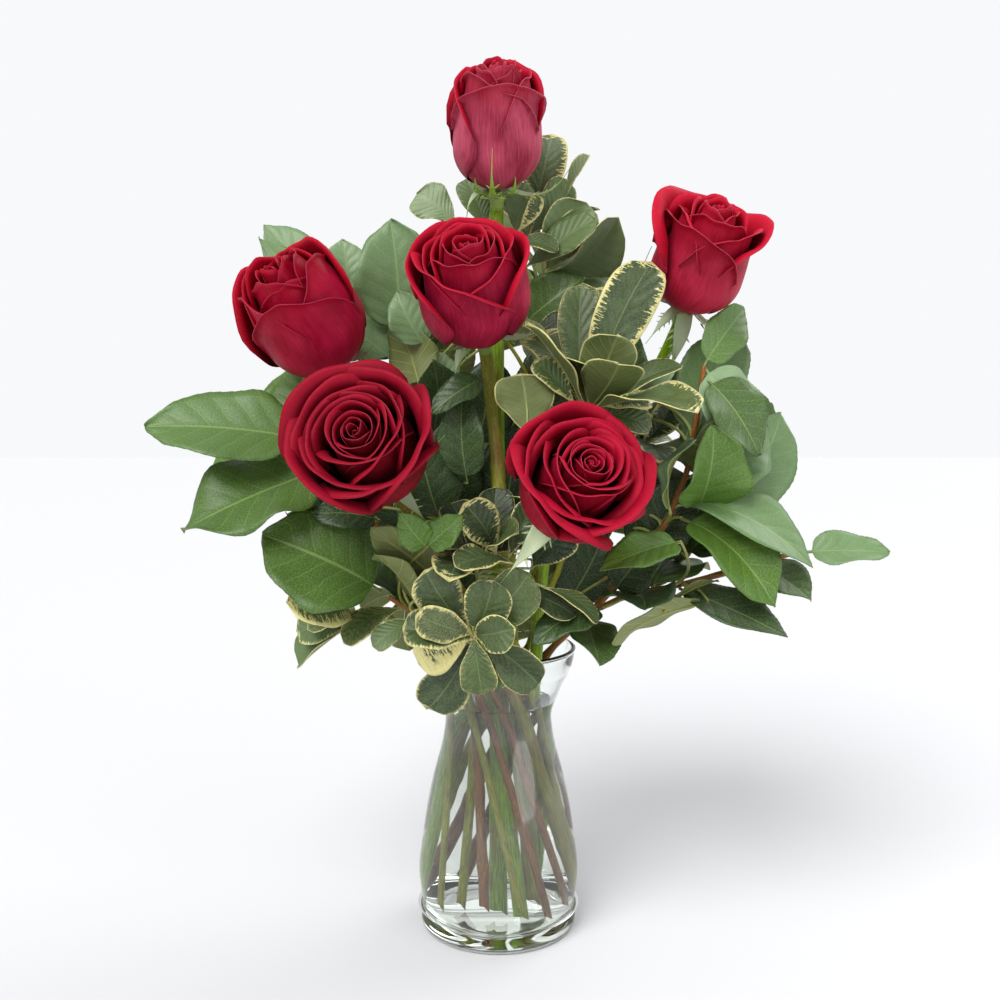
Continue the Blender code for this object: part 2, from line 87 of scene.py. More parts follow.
def addNode(tree, kind, inputs=(), stops=(), **settings):
    # each input is a number, a colour or another node's output; stops are a ramp's positions and colours
    node = tree.nodes.new("ShaderNode" + kind)
    for key, value in settings.items():
        setattr(node, key, value)
    for key, value in inputs.items() if isinstance(inputs, dict) else enumerate(inputs):
        if isinstance(value, bpy.types.NodeSocket):
            tree.links.new(value, node.inputs[key])
        else:
            node.inputs[key].default_value = hexColour(value) if isinstance(value, str) else value
    if stops:
        elements = node.color_ramp.elements
        while len(elements) < len(stops):
            elements.new(0.5)
        for element, (position, code) in zip(elements, stops):
            element.position = position
            element.color = hexColour(code)
    return node.outputs


def newMaterial(name, settings):
    material = bpy.data.materials.new(name)
    material.use_nodes = True
    shader = material.node_tree.nodes["Principled BSDF"]
    for key, value in settings.items():
        shader.inputs[key].default_value = hexColour(value) if isinstance(value, str) else value
    return material, partial(addNode, material.node_tree)


def readPlace(add):  # across from -1 to 1, along from 0 to 1, and a number of its own for each sheet
    return add("SeparateXYZ", (add("Attribute", attribute_name="place")["Vector"],))


def readGrain(add, scale):  # millimetres along the sheet's own directions, so that fibres follow it
    return add("Mapping", {"Vector": add("Attribute", attribute_name="grain")["Vector"], "Scale": scale})[0]


def tinted(add, colour, tint, value, low, high, least, most):
    # the tint's share goes from least to most as the value goes from low to high
    share = add("MapRange", (value, low, high, least, most), interpolation_type="SMOOTHSTEP")[0]
    return add("Mix", {0: share, 6: colour, 7: tint}, data_type="RGBA")[2]


def paint(material, add, colour, height, depth, strength=1.0):  # the colour, and a relief so many mm deep
    relief = add("Bump", {"Strength": strength, "Distance": depth * mm, "Height": height})[0]
    shader = material.node_tree.nodes["Principled BSDF"]
    material.node_tree.links.new(colour, shader.inputs["Base Color"])
    material.node_tree.links.new(relief, shader.inputs["Normal"])
    return material


# Reading the frame

def nodePoints(name):
    return np.unique(np.round([vertex.co for vertex in nodes[name].data.vertices], 6), axis=0)


def stemRings(name, reach=5 * mm):
    # a stem solid is a chain of rings: their middles and radii, from the foot up
    points = nodePoints(name)
    near = np.linalg.norm(points[:, None] - points[None], axis=2) < reach
    left, rings = list(range(len(points))), []
    while left:
        ring, queue = [], [left[0]]
        left.remove(left[0])
        while queue:
            one = queue.pop()
            ring.append(one)
            for other in [i for i in left if near[one, i]]:
                left.remove(other)
                queue.append(other)
        middle = points[ring].mean(axis=0)
        rings.append((middle, np.linalg.norm(points[ring] - middle, axis=1).mean()))
    here = min(rings, key=lambda ring: ring[0][2])
    chain = []
    while True:
        chain.append(here)
        rings = [ring for ring in rings if ring is not here]
        if not rings:
            return np.array([c for c, _ in chain]), np.array([r for _, r in chain])
        here = min(rings, key=lambda ring: np.linalg.norm(ring[0] - chain[-1][0]))


def unit(vector):
    vector = np.asarray(vector, float)
    return vector / np.linalg.norm(vector, axis=-1, keepdims=True)


def lengthsAlong(path):  # from its first point to each
    return np.concatenate([[0], np.cumsum(np.linalg.norm(np.diff(path, axis=0), axis=1))])


def smoothPath(points, step):  # evenly spaced points on a smooth curve through the given ones
    filled = [points[0]]
    for start, end in zip(points, points[1:]):
        pieces = max(1, round(np.linalg.norm(end - start) / (16 * mm)))
        filled += [start + (end - start) * i / pieces for i in range(1, pieces + 1)]
    filled = np.array([2 * filled[0] - filled[1], *filled, 2 * filled[-1] - filled[-2]])
    u = np.linspace(0, 1, 8, endpoint=False)[:, None]
    fine = []
    for a, b, c, d in zip(filled, filled[1:], filled[2:], filled[3:]):
        curve = 2 * b + (c - a) * u + (2 * a - 5 * b + 4 * c - d) * u**2 + (3 * b - a - 3 * c + d) * u**3
        fine.append(curve / 2)
    fine = np.vstack([*fine, filled[-2:-1]])
    along = lengthsAlong(fine)
    at = np.linspace(0, along[-1], max(3, int(along[-1] / step)) + 1)
    return np.stack([np.interp(at, along, fine[:, axis]) for axis in range(3)], axis=1)


def pathFrames(path):
    ways = unit(np.gradient(path, axis=0))
    side = np.cross(ways[0], (0.0, 1.0, 0.0) if abs(ways[0][1]) < 0.9 else (1.0, 0.0, 0.0))
    sides = []
    for way in ways:
        side = unit(side - way * side.dot(way))
        sides.append(side)
    sides = np.array(sides)
    return ways, sides, np.cross(ways, sides)


def facingFrame(way):  # columns: to the object's right, across, and along the way
    z = unit(way)
    x = np.array((1.0, 0.0, 0.0)) - z * z[0]
    if np.linalg.norm(x) < 0.2:
        x = np.array((0.0, 1.0, 0.0)) - z * z[1]
    x = unit(x)
    return np.stack([x, np.cross(z, x), z], axis=1)


def turnedAbout(axis, angle):
    return np.array(Matrix.Rotation(angle, 3, Vector(axis)))


def smoothStep(low, high, value):
    share = np.clip((value - low) / (high - low), 0, 1)
    return share * share * (3 - 2 * share)


# Building pieces from grids of points

scene = bpy.context.scene


def addObject(name, data):
    thing = bpy.data.objects.new(name, data)
    scene.collection.objects.link(thing)
    return thing


sharpAngle = math.radians(55)  # a fold steeper than this shows as an edge
pointNumbers = {  # what the materials read at each point
    "place": ("FLOAT_VECTOR", "vector", 3), "grain": ("FLOAT_VECTOR", "vector", 3),
    "tone": ("FLOAT", "value", 1), "margin": ("FLOAT", "value", 1),
}


def quadsOf(index):  # the faces between the points of a grid, given their numbers
    corners = (index[:-1, :-1], index[:-1, 1:], index[1:, 1:], index[1:, :-1])
    return np.stack(corners, axis=-1).reshape(-1, 4).tolist()


def addPiece(name, patches, materials, replaced=(), thickness=0.0):
    verts, faces, slots, first = [], [], [], 0
    numbers = {key: [] for key in pointNumbers}
    for patch in patches:
        points = patch["points"]
        rows, columns = points.shape[:2]
        index = first + np.arange(rows * columns).reshape(rows, columns)
        if patch.get("wrap"):
            index = np.hstack([index, index[:, :1]])
        quads = quadsOf(index)
        if patch.get("wrap"):
            quads += [index[0, :-1][::-1].tolist(), index[-1, :-1].tolist()]
        faces += quads
        slots += [patch.get("material", 0)] * len(quads)
        verts.append(points.reshape(-1, 3))
        for key, (_, _, width) in pointNumbers.items():
            shape = (rows, columns, width)
            given = np.asarray(patch.get(key, 0.0), float)
            given = given[..., None] if width == 1 and given.ndim == 2 else given
            numbers[key].append(np.broadcast_to(given, shape).reshape(-1))
        first += rows * columns
    mesh = bpy.data.meshes.new(name)
    mesh.from_pydata(np.vstack(verts).tolist(), [], faces)
    for key, (kind, field, _) in pointNumbers.items():
        mesh.attributes.new(key, kind, "POINT").data.foreach_set(field, np.concatenate(numbers[key]))
    mesh.polygons.foreach_set("material_index", slots)
    for material in materials:
        mesh.materials.append(material)
    mesh.shade_smooth()
    mesh.set_sharp_from_angle(angle=sharpAngle)
    piece = addObject(name, mesh)
    if thickness:
        shell = piece.modifiers.new("thickness", "SOLIDIFY")
        shell.thickness = thickness * mm
        shell.offset = -1.0
        shell.use_even_offset = False
        shell.material_offset = 1
        shell.material_offset_rim = 2 if len(materials) > 2 else 0
    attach(piece, "root")
    if replaced:
        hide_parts(*replaced)
    return piece


def stacked(*parts):  # the parts, each a grid, a row, a column or one number, as the last axis of one grid
    grids = [np.atleast_2d(np.asarray(part, float)) for part in parts]
    return np.stack(np.broadcast_arrays(*grids), axis=-1)


def tubePatch(path, radii, sides, seed=0.0, cut=0.0, tone=0.5, material=0):
    ways, right, across = pathFrames(path)
    angles = np.linspace(0, 2 * math.pi, sides, endpoint=False)
    radii = np.broadcast_to(np.asarray(radii, float).reshape(len(path), -1), (len(path), sides))
    ring = right[:, None] * np.cos(angles)[None, :, None] + across[:, None] * np.sin(angles)[None, :, None]
    points = path[:, None] + ring * radii[..., None]
    if cut:  # the knife's slanting cut at the foot
        points[0] += ways[0] * (np.cos(angles) + 1)[:, None] * radii[0][:, None] * cut
    along = lengthsAlong(path)
    return {
        "points": points, "tone": tone, "wrap": True, "material": material,
        "place": stacked(np.cos(angles), (along / along[-1])[:, None], seed),
        "grain": stacked(
            np.cos(angles) * radii / mm, np.sin(angles) * radii / mm, along[:, None] / mm + 500 * seed,
        ),
    }


# Vase and water

vaseLook = {
    "turns": 96,
    "glassTint": "#FCFFFD",
    "glassIor": 1.52,  # soda-lime glass
    "waterTint": "#FDFEFA",
    "waterIor": 1.333,
    "wetting": 0.15,  # mm that the water reaches into the glass, so that light passes from one to the other
    "rimRound": 1.4 * mm,
    "wellRound": 7 * mm,  # the inner corner between wall and floor
    "axisClear": 25 * mm,  # points nearer to the axis belong to neither wall
    "floorAbove": 18 * mm,
    "thinnest": 2 * mm,
}


def clearMaterial(name, tint, ior):  # almost colourless and mirror smooth
    return newMaterial(name, {
        "Base Color": tint, "Roughness": 0.0, "IOR": ior, "Transmission Weight": 1.0,
        "Specular IOR Level": 0.18,
    })[0]


def vaseSides():  # the outer and inner profiles of the glass as radius and height, from the base up
    points = nodePoints("vase")
    radii, heights = np.hypot(points[:, 0], points[:, 1]), np.round(points[:, 2], 4)
    outer, inner = [], []
    for height in np.unique(heights):
        here = radii[heights == height]
        if here.max() > vaseLook["axisClear"]:
            outer.append((here.max(), height))
        if here.max() - here.min() > vaseLook["thinnest"] and height > vaseLook["floorAbove"]:
            inner.append((here.min(), height))
    return np.array(outer), np.array(inner)


def fineProfile(points, step=2.0):
    flat = np.column_stack([points[:, 0], np.zeros(len(points)), points[:, 1]])
    return smoothPath(flat, step * mm)[:, [0, 2]]


def turnedPiece(name, profile, material, slotName):
    mesh = bpy.data.meshes.new(name)
    edges = [(i, i + 1) for i in range(len(profile) - 1)]
    mesh.from_pydata([(radius, 0.0, height) for radius, height in profile], edges, [])
    mesh.materials.append(material)
    piece = addObject(name, mesh)
    screw = piece.modifiers.new("turn", "SCREW")
    screw.steps = screw.render_steps = vaseLook["turns"]
    screw.use_merge_vertices = True
    screw.merge_threshold = 0.00001
    screw.use_smooth_shade = True
    screw.use_normal_flip = True
    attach(piece, "root")
    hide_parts(slotName if slotName == "water" else "vase")
    return piece


def arc(middle, radius, start, end, count):
    angles = np.radians(np.linspace(start, end, count))
    return np.column_stack([middle[0] + radius * np.cos(angles), middle[1] + radius * np.sin(angles)])


def buildVase():
    outer, inner = vaseSides()
    lipTop = outer[-1][1]
    side = outer[(outer[:, 1] > 8 * mm) & (outer[:, 1] < lipTop - 0.5 * mm)]
    foot = outer[0][0] + 1.0 * mm
    rimRound, wellRound = vaseLook["rimRound"], vaseLook["wellRound"]
    rim = np.array([side[-1][0] - rimRound, lipTop - rimRound])
    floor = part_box("water")[0].z
    well = inner[0][0]
    profile = np.vstack([
        [(0.0, 1.6 * mm), (foot * 0.55, 1.1 * mm), (foot - 7 * mm, 0.4 * mm)],  # the punt under the base
        arc((foot - 3 * mm, 3.6 * mm), 3.6 * mm, -90, 0, 7),
        fineProfile(np.vstack([[(foot + 0.6 * mm, 5 * mm)], side]))[1:],
        arc(rim, rimRound, 0, 180, 9),
        fineProfile(inner[::-1])[1:],
        arc((well - wellRound, floor + 6.5 * mm), wellRound, 0, -90, 8),
        [(well * 0.45, floor - 0.2 * mm), (0.0, floor + 0.9 * mm)],
    ])
    # blown and fire-polished glass
    glass = clearMaterial("sodaLimeGlass", vaseLook["glassTint"], vaseLook["glassIor"])
    turnedPiece("vase_glass", profile, glass, "glass")
    print("vase turned")


def buildWater():
    _, inner = vaseSides()
    low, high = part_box("water")
    wet = fineProfile(inner[inner[:, 1] < high.z + 10 * mm])
    wet = wet[wet[:, 1] < high.z]
    reach, wellRound = vaseLook["wetting"] * mm, vaseLook["wellRound"]
    wet[:, 0] += reach
    well = inner[0][0]
    edge = wet[-1][0]
    profile = np.vstack([
        [(0.0, low.z + 0.9 * mm - reach), (well * 0.45, low.z - 0.2 * mm - reach)],
        arc((well - wellRound, low.z + 6.5 * mm), wellRound + reach, -90, 0, 8),
        wet,
        # the water climbs a little where it meets the glass
        [(edge, high.z + 0.6 * mm), (edge - 1.0 * mm, high.z + 0.1 * mm)],
        [(edge - 2.6 * mm, high.z - 0.3 * mm), (0.0, high.z - 0.3 * mm)],
    ])
    # clear tap water
    water = clearMaterial("stillWater", vaseLook["waterTint"], vaseLook["waterIor"])
    turnedPiece("vase_water", profile, water, "water")
    print("water poured")


# Leaves. Widths, lengths, waves and teeth are in millimetres.

# The upper greens run dark to pale: the darkest are painted shade for leaves deep in the bunch, the palest a
# painted sheen on glossy leaves
leafLook = {
    "salal": {
        "rows": 52, "columns": 11, "petiole": 0.08, "fold": 0.18, "wave": 2.6, "waves": 1.7, "teeth": 0.5,
        "toothEvery": 2.6, "sway": 0.05, "twist": 0.35, "thickness": 0.5, "lobes": 0.05, "rib": 0.85,
        "upper": ("#12240A", "#22390F", "#3A5614", "#4A6F08", "#527038", "#6A8858", "#88A278"),
        "vein": "#A0B86C", "veinShare": 0.14, "frost": "#93A886",
        "under": ("#66703C", "#828A52"), "underVein": "#9CA26C", "veins": 6.0, "gloss": 0.42,
    },
    "pittosporum": {
        "rows": 26, "columns": 11, "petiole": 0.05, "fold": 0.14, "wave": 1.3, "waves": 2.1, "teeth": 0.0,
        "toothEvery": 9.0, "sway": 0.06, "twist": 0.40, "thickness": 0.5, "rib": 0.7,
        "upper": ("#11200A", "#212F12", "#36451C", "#475A20", "#5C7242", "#708656", "#889C74"),
        "vein": "#87996A", "veinShare": 0.09, "frost": "#7C9076",
        "under": ("#5C6836", "#788350"), "underVein": "#8E9862", "veins": 9.0, "gloss": 0.44,
        "cream": "#D8D08C", "creamReach": 1.8, "creamStreaks": 4.4, "lobes": 0.04,
    },
}


def ovate(s):  # broadest before the middle, with a rounded base and a drawn-out tip
    u = np.clip(s, 0, 1)
    return 1.88 * u**0.42 * (1 - u) ** 0.62 * (1 + 0.10 * (1 - u)) * (1 - 0.40 * smoothStep(0.82, 1.0, u))


def obovate(s):  # a long taper from the base and a rounded end
    u = np.clip(s, 0, 1)
    return 2.42 * u**1.10 * (1 - u) ** 0.42


outlines = {"salal": ovate, "pittosporum": obovate}


def leafPatch(kind, base, tip, up, width, arch, seed, tone, coarse=False, curl=0.0, fold=None, cream=1.0):
    look, rnd = leafLook[kind], random.Random(seed)
    rows, columns = (9, 5) if coarse else (look["rows"], look["columns"])
    s = np.linspace(0, 1, rows)[:, None]
    t = np.linspace(-1, 1, columns)[None, :]
    chord = np.asarray(tip, float) - base
    length = np.linalg.norm(chord)
    way = chord / length
    up = unit(np.asarray(up, float) - way * np.dot(up, way))
    side = np.cross(way, up)
    blade = (s - look["petiole"]) / (1 - look["petiole"])
    half = width * mm / 2 * outlines[kind](blade)
    tooth = (s * length / mm / look["toothEvery"]) % 1.0
    tooth = look["teeth"] * mm * (tooth - 0.5) * smoothStep(0.0, 0.1, blade) * (0 if coarse else 1)
    stalk = 0.6 * mm * (1 - smoothStep(0, 0.1, blade)) + 0.15 * mm
    lobe = np.sin(2 * math.pi * 2.3 * s + 2.2 * np.sign(t) + rnd.uniform(0, 6.3))
    lobe = look["lobes"] * lobe * t**2 * (1 - s**3)
    across = (half * (1 + lobe) + stalk) * t + tooth * np.sign(t) * abs(t) ** 6
    waveUp = look["wave"] * mm * (width / 40) * rnd.uniform(0.5, 1.3)
    phase = rnd.uniform(0, 6.3)
    ripple = np.sin(2 * math.pi * look["waves"] * s * rnd.uniform(0.8, 1.2) + phase + 1.6 * np.sign(t))
    lift = 4 * arch * mm * s * (1 - s) - curl * length * s**3
    lift = lift + (look["fold"] if fold is None else fold) * abs(across) ** 1.1 / (12 * mm) ** 0.1
    lift = lift + waveUp * ripple * abs(t) ** 2.2 * smoothStep(0.08, 0.4, s)
    sway = look["sway"] * length * rnd.uniform(-1, 1) * 4 * s * (1 - s)
    turn = look["twist"] * rnd.uniform(-1, 1) * (s - 0.2) * smoothStep(0, 0.3, s)
    flat = across * np.cos(turn) - lift * np.sin(turn) + sway
    rise = across * np.sin(turn) + lift * np.cos(turn)
    points = base + chord * s[..., None] + side * flat[..., None] + up * rise[..., None]
    own = seed % 97
    return {
        "points": points, "tone": tone,
        "margin": np.minimum((1 - abs(t)) * half, (1 - s) * length) / (mm * cream),
        "place": stacked(t, blade, own),
        "grain": stacked(across / mm, s * length / mm, 70.0 * own),
    }


def ribPatch(leaf, radius, seed, reach=0.92):  # the stalk and the raised midrib under the blade
    points = leaf["points"]
    rows, columns = points.shape[:2]
    middle = points[:, columns // 2]
    below = unit(np.cross(points[:, -1] - points[:, 0], np.gradient(middle, axis=0)))
    last = int(rows * reach)
    share = np.linspace(0, 1, rows)[:last]
    path = (middle - below * (0.45 * mm + 0.3 * radius))[:last][::2]
    radii = (radius * (1 - 0.85 * np.minimum(1, share * 1.15)))[::2]
    return tubePatch(path, radii, 7, seed=seed, material=1)


def leafFacts(points, base):  # tip, upper side, width and arch of a leaf solid, from its points
    tip = points[np.argmax(np.linalg.norm(points - base, axis=1))]
    chord = tip - base
    share = (points - base) @ chord / chord.dot(chord)
    off = points - base - share[:, None] * chord
    blade = off[(share > 0.2) & (share < 0.95)]
    side = np.linalg.eigh(blade.T @ blade)[1][:, 2]
    side = unit(side - chord * side.dot(chord) / chord.dot(chord))
    up = np.cross(side, unit(chord))
    if (off @ up).mean() < 0:
        up = -up
    width = np.ptp(off @ side) / mm
    middle = (abs(share - 0.5) < 0.12) & (abs(off @ side) < 0.2 * width * mm)
    arch = (off[middle] @ up).mean() / mm if middle.any() else 3.0
    return tip, up, width, max(0.0, arch)


def salalLeafFacts(node, path):
    points = nodePoints(node)
    one = points[np.argmax(np.linalg.norm(points - points.mean(axis=0), axis=1))]
    other = points[np.argmax(np.linalg.norm(points - one, axis=1))]
    away = [np.linalg.norm(path - end, axis=1).min() for end in (one, other)]
    base = one if away[0] < away[1] else other
    return (base, *leafFacts(points, base))


def sprigLeafFacts(node, hub):  # each blade of a sprig is what stays joined once the middle is left out
    mesh = nodes[node].data
    points, where = np.unique(
        np.round([vertex.co for vertex in mesh.vertices], 6), axis=0, return_inverse=True
    )
    where = where.reshape(-1)
    edges = np.unique(np.sort([[where[i] for i in edge.vertices] for edge in mesh.edges], axis=1), axis=0)
    best = []
    for cut in range(10, 30, 2):
        far = np.linalg.norm(points - hub, axis=1) > cut * mm
        group = np.arange(len(points))
        joined = edges[far[edges].all(axis=1)]
        for _ in range(len(points)):
            lowest = np.minimum(group[joined[:, 0]], group[joined[:, 1]])
            before = group.copy()
            np.minimum.at(group, joined[:, 0], lowest)
            np.minimum.at(group, joined[:, 1], lowest)
            if (group == before).all():
                break
        blades = [points[far & (group == one)] for one in np.unique(group[far])]
        blades = [blade for blade in blades if len(blade) > 8]
        if len(blades) > len(best):
            best = blades
    return [(hub, *leafFacts(blade, hub)) for blade in best]


def arcedVeins(add, s, wide, veins, shift=()):
    # how far a point lies from a side vein, 0 to 0.5; the veins arch forward toward the margin
    bend = add("Math", (add("Math", (wide, 0.85), operation="POWER")[0], 0.26), operation="MULTIPLY")[0]
    phase = add("Math", (add("Math", (s, bend), operation="SUBTRACT")[0], veins), operation="MULTIPLY")[0]
    for part in shift:
        phase = add("Math", (phase, part), operation="ADD")[0]
    wrapped = add("Math", (phase,), operation="FRACT")[0]
    return add("Math", (add("Math", (wrapped, 0.5), operation="SUBTRACT")[0],), operation="ABSOLUTE")[0]


def leafUpper(kind, look):
    # waxy evergreen leaf: a smooth cuticle over arched veins, matt green between them
    material, add = newMaterial(kind + "LeafUpper", {"Roughness": look["gloss"], "Specular IOR Level": 0.42})
    t, s, seed = readPlace(add)
    tone = add("Attribute", attribute_name="tone")["Fac"]
    wide = add("Math", (t,), operation="ABSOLUTE")[0]
    mottle = add("TexNoise", {"Vector": readGrain(add, (0.11, 0.08, 1.0)), "Scale": 1.0, "Detail": 3.0})[0]
    fine = add("TexNoise", {"Vector": readGrain(add, (0.9, 0.9, 1.0)), "Scale": 1.0, "Detail": 2.0})[0]
    # side veins leave the midrib by turns, and fade out at the margin
    sideTurn = add("Math", (add("Math", (t,), operation="SIGN")[0], 0.16), operation="MULTIPLY")[0]
    drift = add("Math", (mottle, 0.35), operation="MULTIPLY")[0]
    between = arcedVeins(add, s, wide, look["veins"], (sideTurn, drift))
    veinShare = look["veinShare"]
    sideVein = add("MapRange", (between, 0.005, 0.06, veinShare, 0.0), interpolation_type="SMOOTHSTEP")[0]
    inner = add("MapRange", (wide, 0.70, 0.95, 1.0, 0.0), interpolation_type="SMOOTHSTEP")[0]
    sideVein = add("Math", (sideVein, inner), operation="MULTIPLY")[0]
    midrib = add("MapRange", (wide, 0.010, 0.04, 0.36, 0.0), interpolation_type="SMOOTHSTEP")[0]
    vein = add("Math", (midrib, sideVein), operation="MAXIMUM")[0]
    # the green by the leaf's tone, from dark to pale: the dark end is painted shade, the pale end a painted
    # sheen
    light = add("Math", (mottle, 0.5), operation="SUBTRACT")[0]
    shade = add("Math", (light, 0.16, tone), operation="MULTIPLY_ADD")[0]
    stops = tuple(zip((0.0, 0.18, 0.34, 0.50, 0.66, 0.82, 1.0), look["upper"]))
    green = add("ValToRGB", (shade,), stops)[0]
    green = tinted(add, green, look["frost"], fine, 0.35, 0.70, 0.0, 0.20)
    colour = add("Mix", {0: vein, 6: green, 7: look["vein"]}, data_type="RGBA")[2]
    if "cream" in look:
        colour = creamMargin(add, look, colour, mottle, tone, seed)
    quilt = add("MapRange", (between, 0.0, 0.45, 0.0, 1.0), interpolation_type="SMOOTHSTEP")[0]
    flat = add("MapRange", (wide, 0.0, 0.25, 0.0, 1.0), interpolation_type="SMOOTHSTEP")[0]
    quilt = add("Math", (quilt, flat), operation="MULTIPLY")[0]
    relief = add("Math", (fine, 0.7, quilt), operation="MULTIPLY_ADD")[0]
    return paint(material, add, colour, relief, 0.26, 0.9)


def creamMargin(add, look, colour, mottle, tone, seed):
    # a cream margin that breaks into streaks: its breadth is by chance, and least on dark and on pale leaves
    streaks = add("TexNoise", {
        "Vector": readGrain(add, (0.16, 0.75, 1.0)), "Scale": 1.0, "Detail": 3.0, "Roughness": 0.65,
    })[0]
    island = add("TexNoise", {"Vector": readGrain(add, (0.14, 0.10, 1.0)), "Scale": 1.0, "Detail": 1.0})[0]
    pale = tinted(add, colour, look["upper"][5], island, 0.44, 0.62, 0.0, 0.14)
    streaks = add("MapRange", (streaks, 0.42, 0.72, 0.0, 1.0), interpolation_type="SMOOTHSTEP")[0]
    reach = add("Math", (streaks, look["creamStreaks"]), operation="MULTIPLY")[0]
    reach = add("Math", (mottle, look["creamReach"], reach), operation="MULTIPLY_ADD")[0]
    chance = add("TexWhiteNoise", {"W": seed}, noise_dimensions="1D")["Value"]
    for value, low, high, least, most in (
        (chance, 0.35, 1.0, 0.10, 1.6), (tone, 0.50, 0.68, 1.0, 0.15), (tone, 0.16, 0.30, 0.35, 1.0),
    ):
        share = add("MapRange", (value, low, high, least, most), interpolation_type="SMOOTHSTEP")[0]
        reach = add("Math", (reach, share), operation="MULTIPLY")[0]
    margin = add("Attribute", attribute_name="margin")["Fac"]
    inside = add("Math", (margin, reach), operation="SUBTRACT")[0]
    return tinted(add, pale, look["cream"], inside, -0.25, 0.25, 1.0, 0.0)


def leafUnder(kind, look):
    # the back of the same leaf: duller, paler, its veins standing out
    material, add = newMaterial(kind + "LeafUnder", {"Roughness": 0.55, "Specular IOR Level": 0.35})
    t, s, _ = readPlace(add)
    wide = add("Math", (t,), operation="ABSOLUTE")[0]
    mottle = add("TexNoise", {"Vector": readGrain(add, (0.15, 0.12, 1.0)), "Scale": 1.0, "Detail": 3.0})[0]
    between = arcedVeins(add, s, wide, look["veins"])
    midrib = add("MapRange", (wide, 0.03, 0.08, 1.0, 0.0), interpolation_type="SMOOTHSTEP")[0]
    sideVein = add("MapRange", (between, 0.02, 0.09, 0.8, 0.0), interpolation_type="SMOOTHSTEP")[0]
    vein = add("Math", (midrib, sideVein), operation="MAXIMUM")[0]
    colour = add("Mix", {0: mottle, 6: look["under"][0], 7: look["under"][1]}, data_type="RGBA")[2]
    veinShare = add("Math", (vein, 0.6), operation="MULTIPLY")[0]
    colour = add("Mix", {0: veinShare, 6: colour, 7: look["underVein"]}, data_type="RGBA")[2]
    if "cream" in look:
        margin = add("Attribute", attribute_name="margin")["Fac"]
        inside = add("Math", (mottle, -1.6, margin), operation="MULTIPLY_ADD")[0]
        colour = tinted(add, colour, look["cream"], inside, -0.25, 0.25, 0.8, 0.0)
    return paint(material, add, colour, vein, 0.3, 0.8)


leafMaterials = {kind: [leafUpper(kind, look), leafUnder(kind, look)] for kind, look in leafLook.items()}


# Stems

stemLook = {  # the skin, its light streaks, its flush and its pores, and the breadth of a fibre in mm
    "rose": (("#5E8608", "#98B81E", "#7E4A1E", "#C6C890"), 0.7),
    "brownRose": (("#767618", "#96922C", "#7A4020", "#C0BC88"), 0.7),
    "salal": (("#743A14", "#966A28", "#4C2C10", "#C2A678"), 0.5),
    "pittosporum": (("#7E781C", "#A2AA26", "#564614", "#C9C08A"), 0.5),
    "redStalk": (("#8A9A4A", "#A8A45C", "#9A5A3C", "#B4A870"), 0.4),
    "paleStalk": (("#8FA05A", "#B9C48A", "#7C8A4C", "#C4CC98"), 0.4),
}
stemBuild = {  # swollen knots, how much they swell, and the sides of the sweep
    "rose": (4, 0.12, 20), "salal": (9, 0.22, 12), "pittosporum": (9, 0.22, 12),
}


def stemSkin(name, kind, reliefDepth):
    # green or woody bark: long fibres, patches of red flush, and pale breathing pores
    material, add = newMaterial(name, {"Roughness": 0.46, "Specular IOR Level": 0.4})
    (colour, light, flush, cork), fibre = stemLook[kind]
    grain = readGrain(add, (1 / fibre, 1 / fibre, 1 / (fibre * 14)))
    fibres = add("TexNoise", {"Vector": grain, "Scale": 1.0, "Detail": 3.0})[0]
    patches = add("TexNoise", {"Vector": readGrain(add, (0.1, 0.1, 0.035)), "Scale": 1.0, "Detail": 2.0})[0]
    pores = add("TexVoronoi", {"Vector": readGrain(add, (0.5, 0.5, 0.22)), "Scale": 1.0})["Distance"]
    colour = tinted(add, colour, light, fibres, 0.3, 0.7, 0.0, 1.0)
    colour = tinted(add, colour, flush, patches, 0.54, 0.70, 0.0, 0.6)
    colour = tinted(add, colour, cork, pores, 0.10, 0.18, 0.55, 0.0)
    warts = add("MapRange", (pores, 0.1, 0.22, 0.6, 0.0), interpolation_type="SMOOTHSTEP")[0]
    relief = add("Math", (fibres, warts), operation="ADD")[0]
    return paint(material, add, colour, relief, reliefDepth)


thornLook = {  # lengths and radii in mm
    "count": 7, "length": (2.4, 4.2),
    "taper": (1.3, 0.85, 0.5, 0.28, 0.14, 0.03),  # the radii of a thorn as long as "whole"
    "whole": 4.5,
}


def thornPatch(at, out, way, length):
    steps = np.linspace(0, 1, len(thornLook["taper"]))
    path = at + out * (length * steps)[:, None] - way * (0.55 * length * steps**2)[:, None]
    radii = np.array(thornLook["taper"]) * mm * length / (thornLook["whole"] * mm)
    return tubePatch(path, radii, 8, seed=0.3, tone=0.9)


def stemPath(name):
    centres, radii = stemRings(name)
    path = smoothPath(centres, 3.5 * mm)
    along = lengthsAlong(centres)
    share = np.linspace(0, 1, len(path))
    return path, np.interp(share, along / along[-1], radii)


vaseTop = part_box("vase")[1].z
stemPaths = {name: stemPath(name + "_stem") for name in (*roseNames, *salalNames, *sprigNames)}


def stemPatches(name, seed, knots, swelling, sides):
    rnd = random.Random(seed)
    path, radii = stemPaths[name]
    radii = radii.copy()
    share = np.linspace(0, 1, len(path))
    for _ in range(knots):
        knot = rnd.uniform(0.06, 0.97)
        radii *= 1 + swelling * np.exp(-((share - knot) * len(path) / 1.3) ** 2)
    wobble = 1 + 0.02 * np.sin(share * 37 + seed)
    return [tubePatch(path, radii * wobble, sides, seed=seed * 0.37, cut=1.3)]


def treeOf(points):
    rows, columns = points.shape[:2]
    faces = quadsOf(np.arange(rows * columns).reshape(rows, columns))
    return BVHTree.FromPolygons([Vector(p) for p in points.reshape(-1, 3)], faces)


def solidTree(name):
    mesh = nodes[name].data
    return BVHTree.FromPolygons([v.co for v in mesh.vertices], [tuple(p.vertices) for p in mesh.polygons])


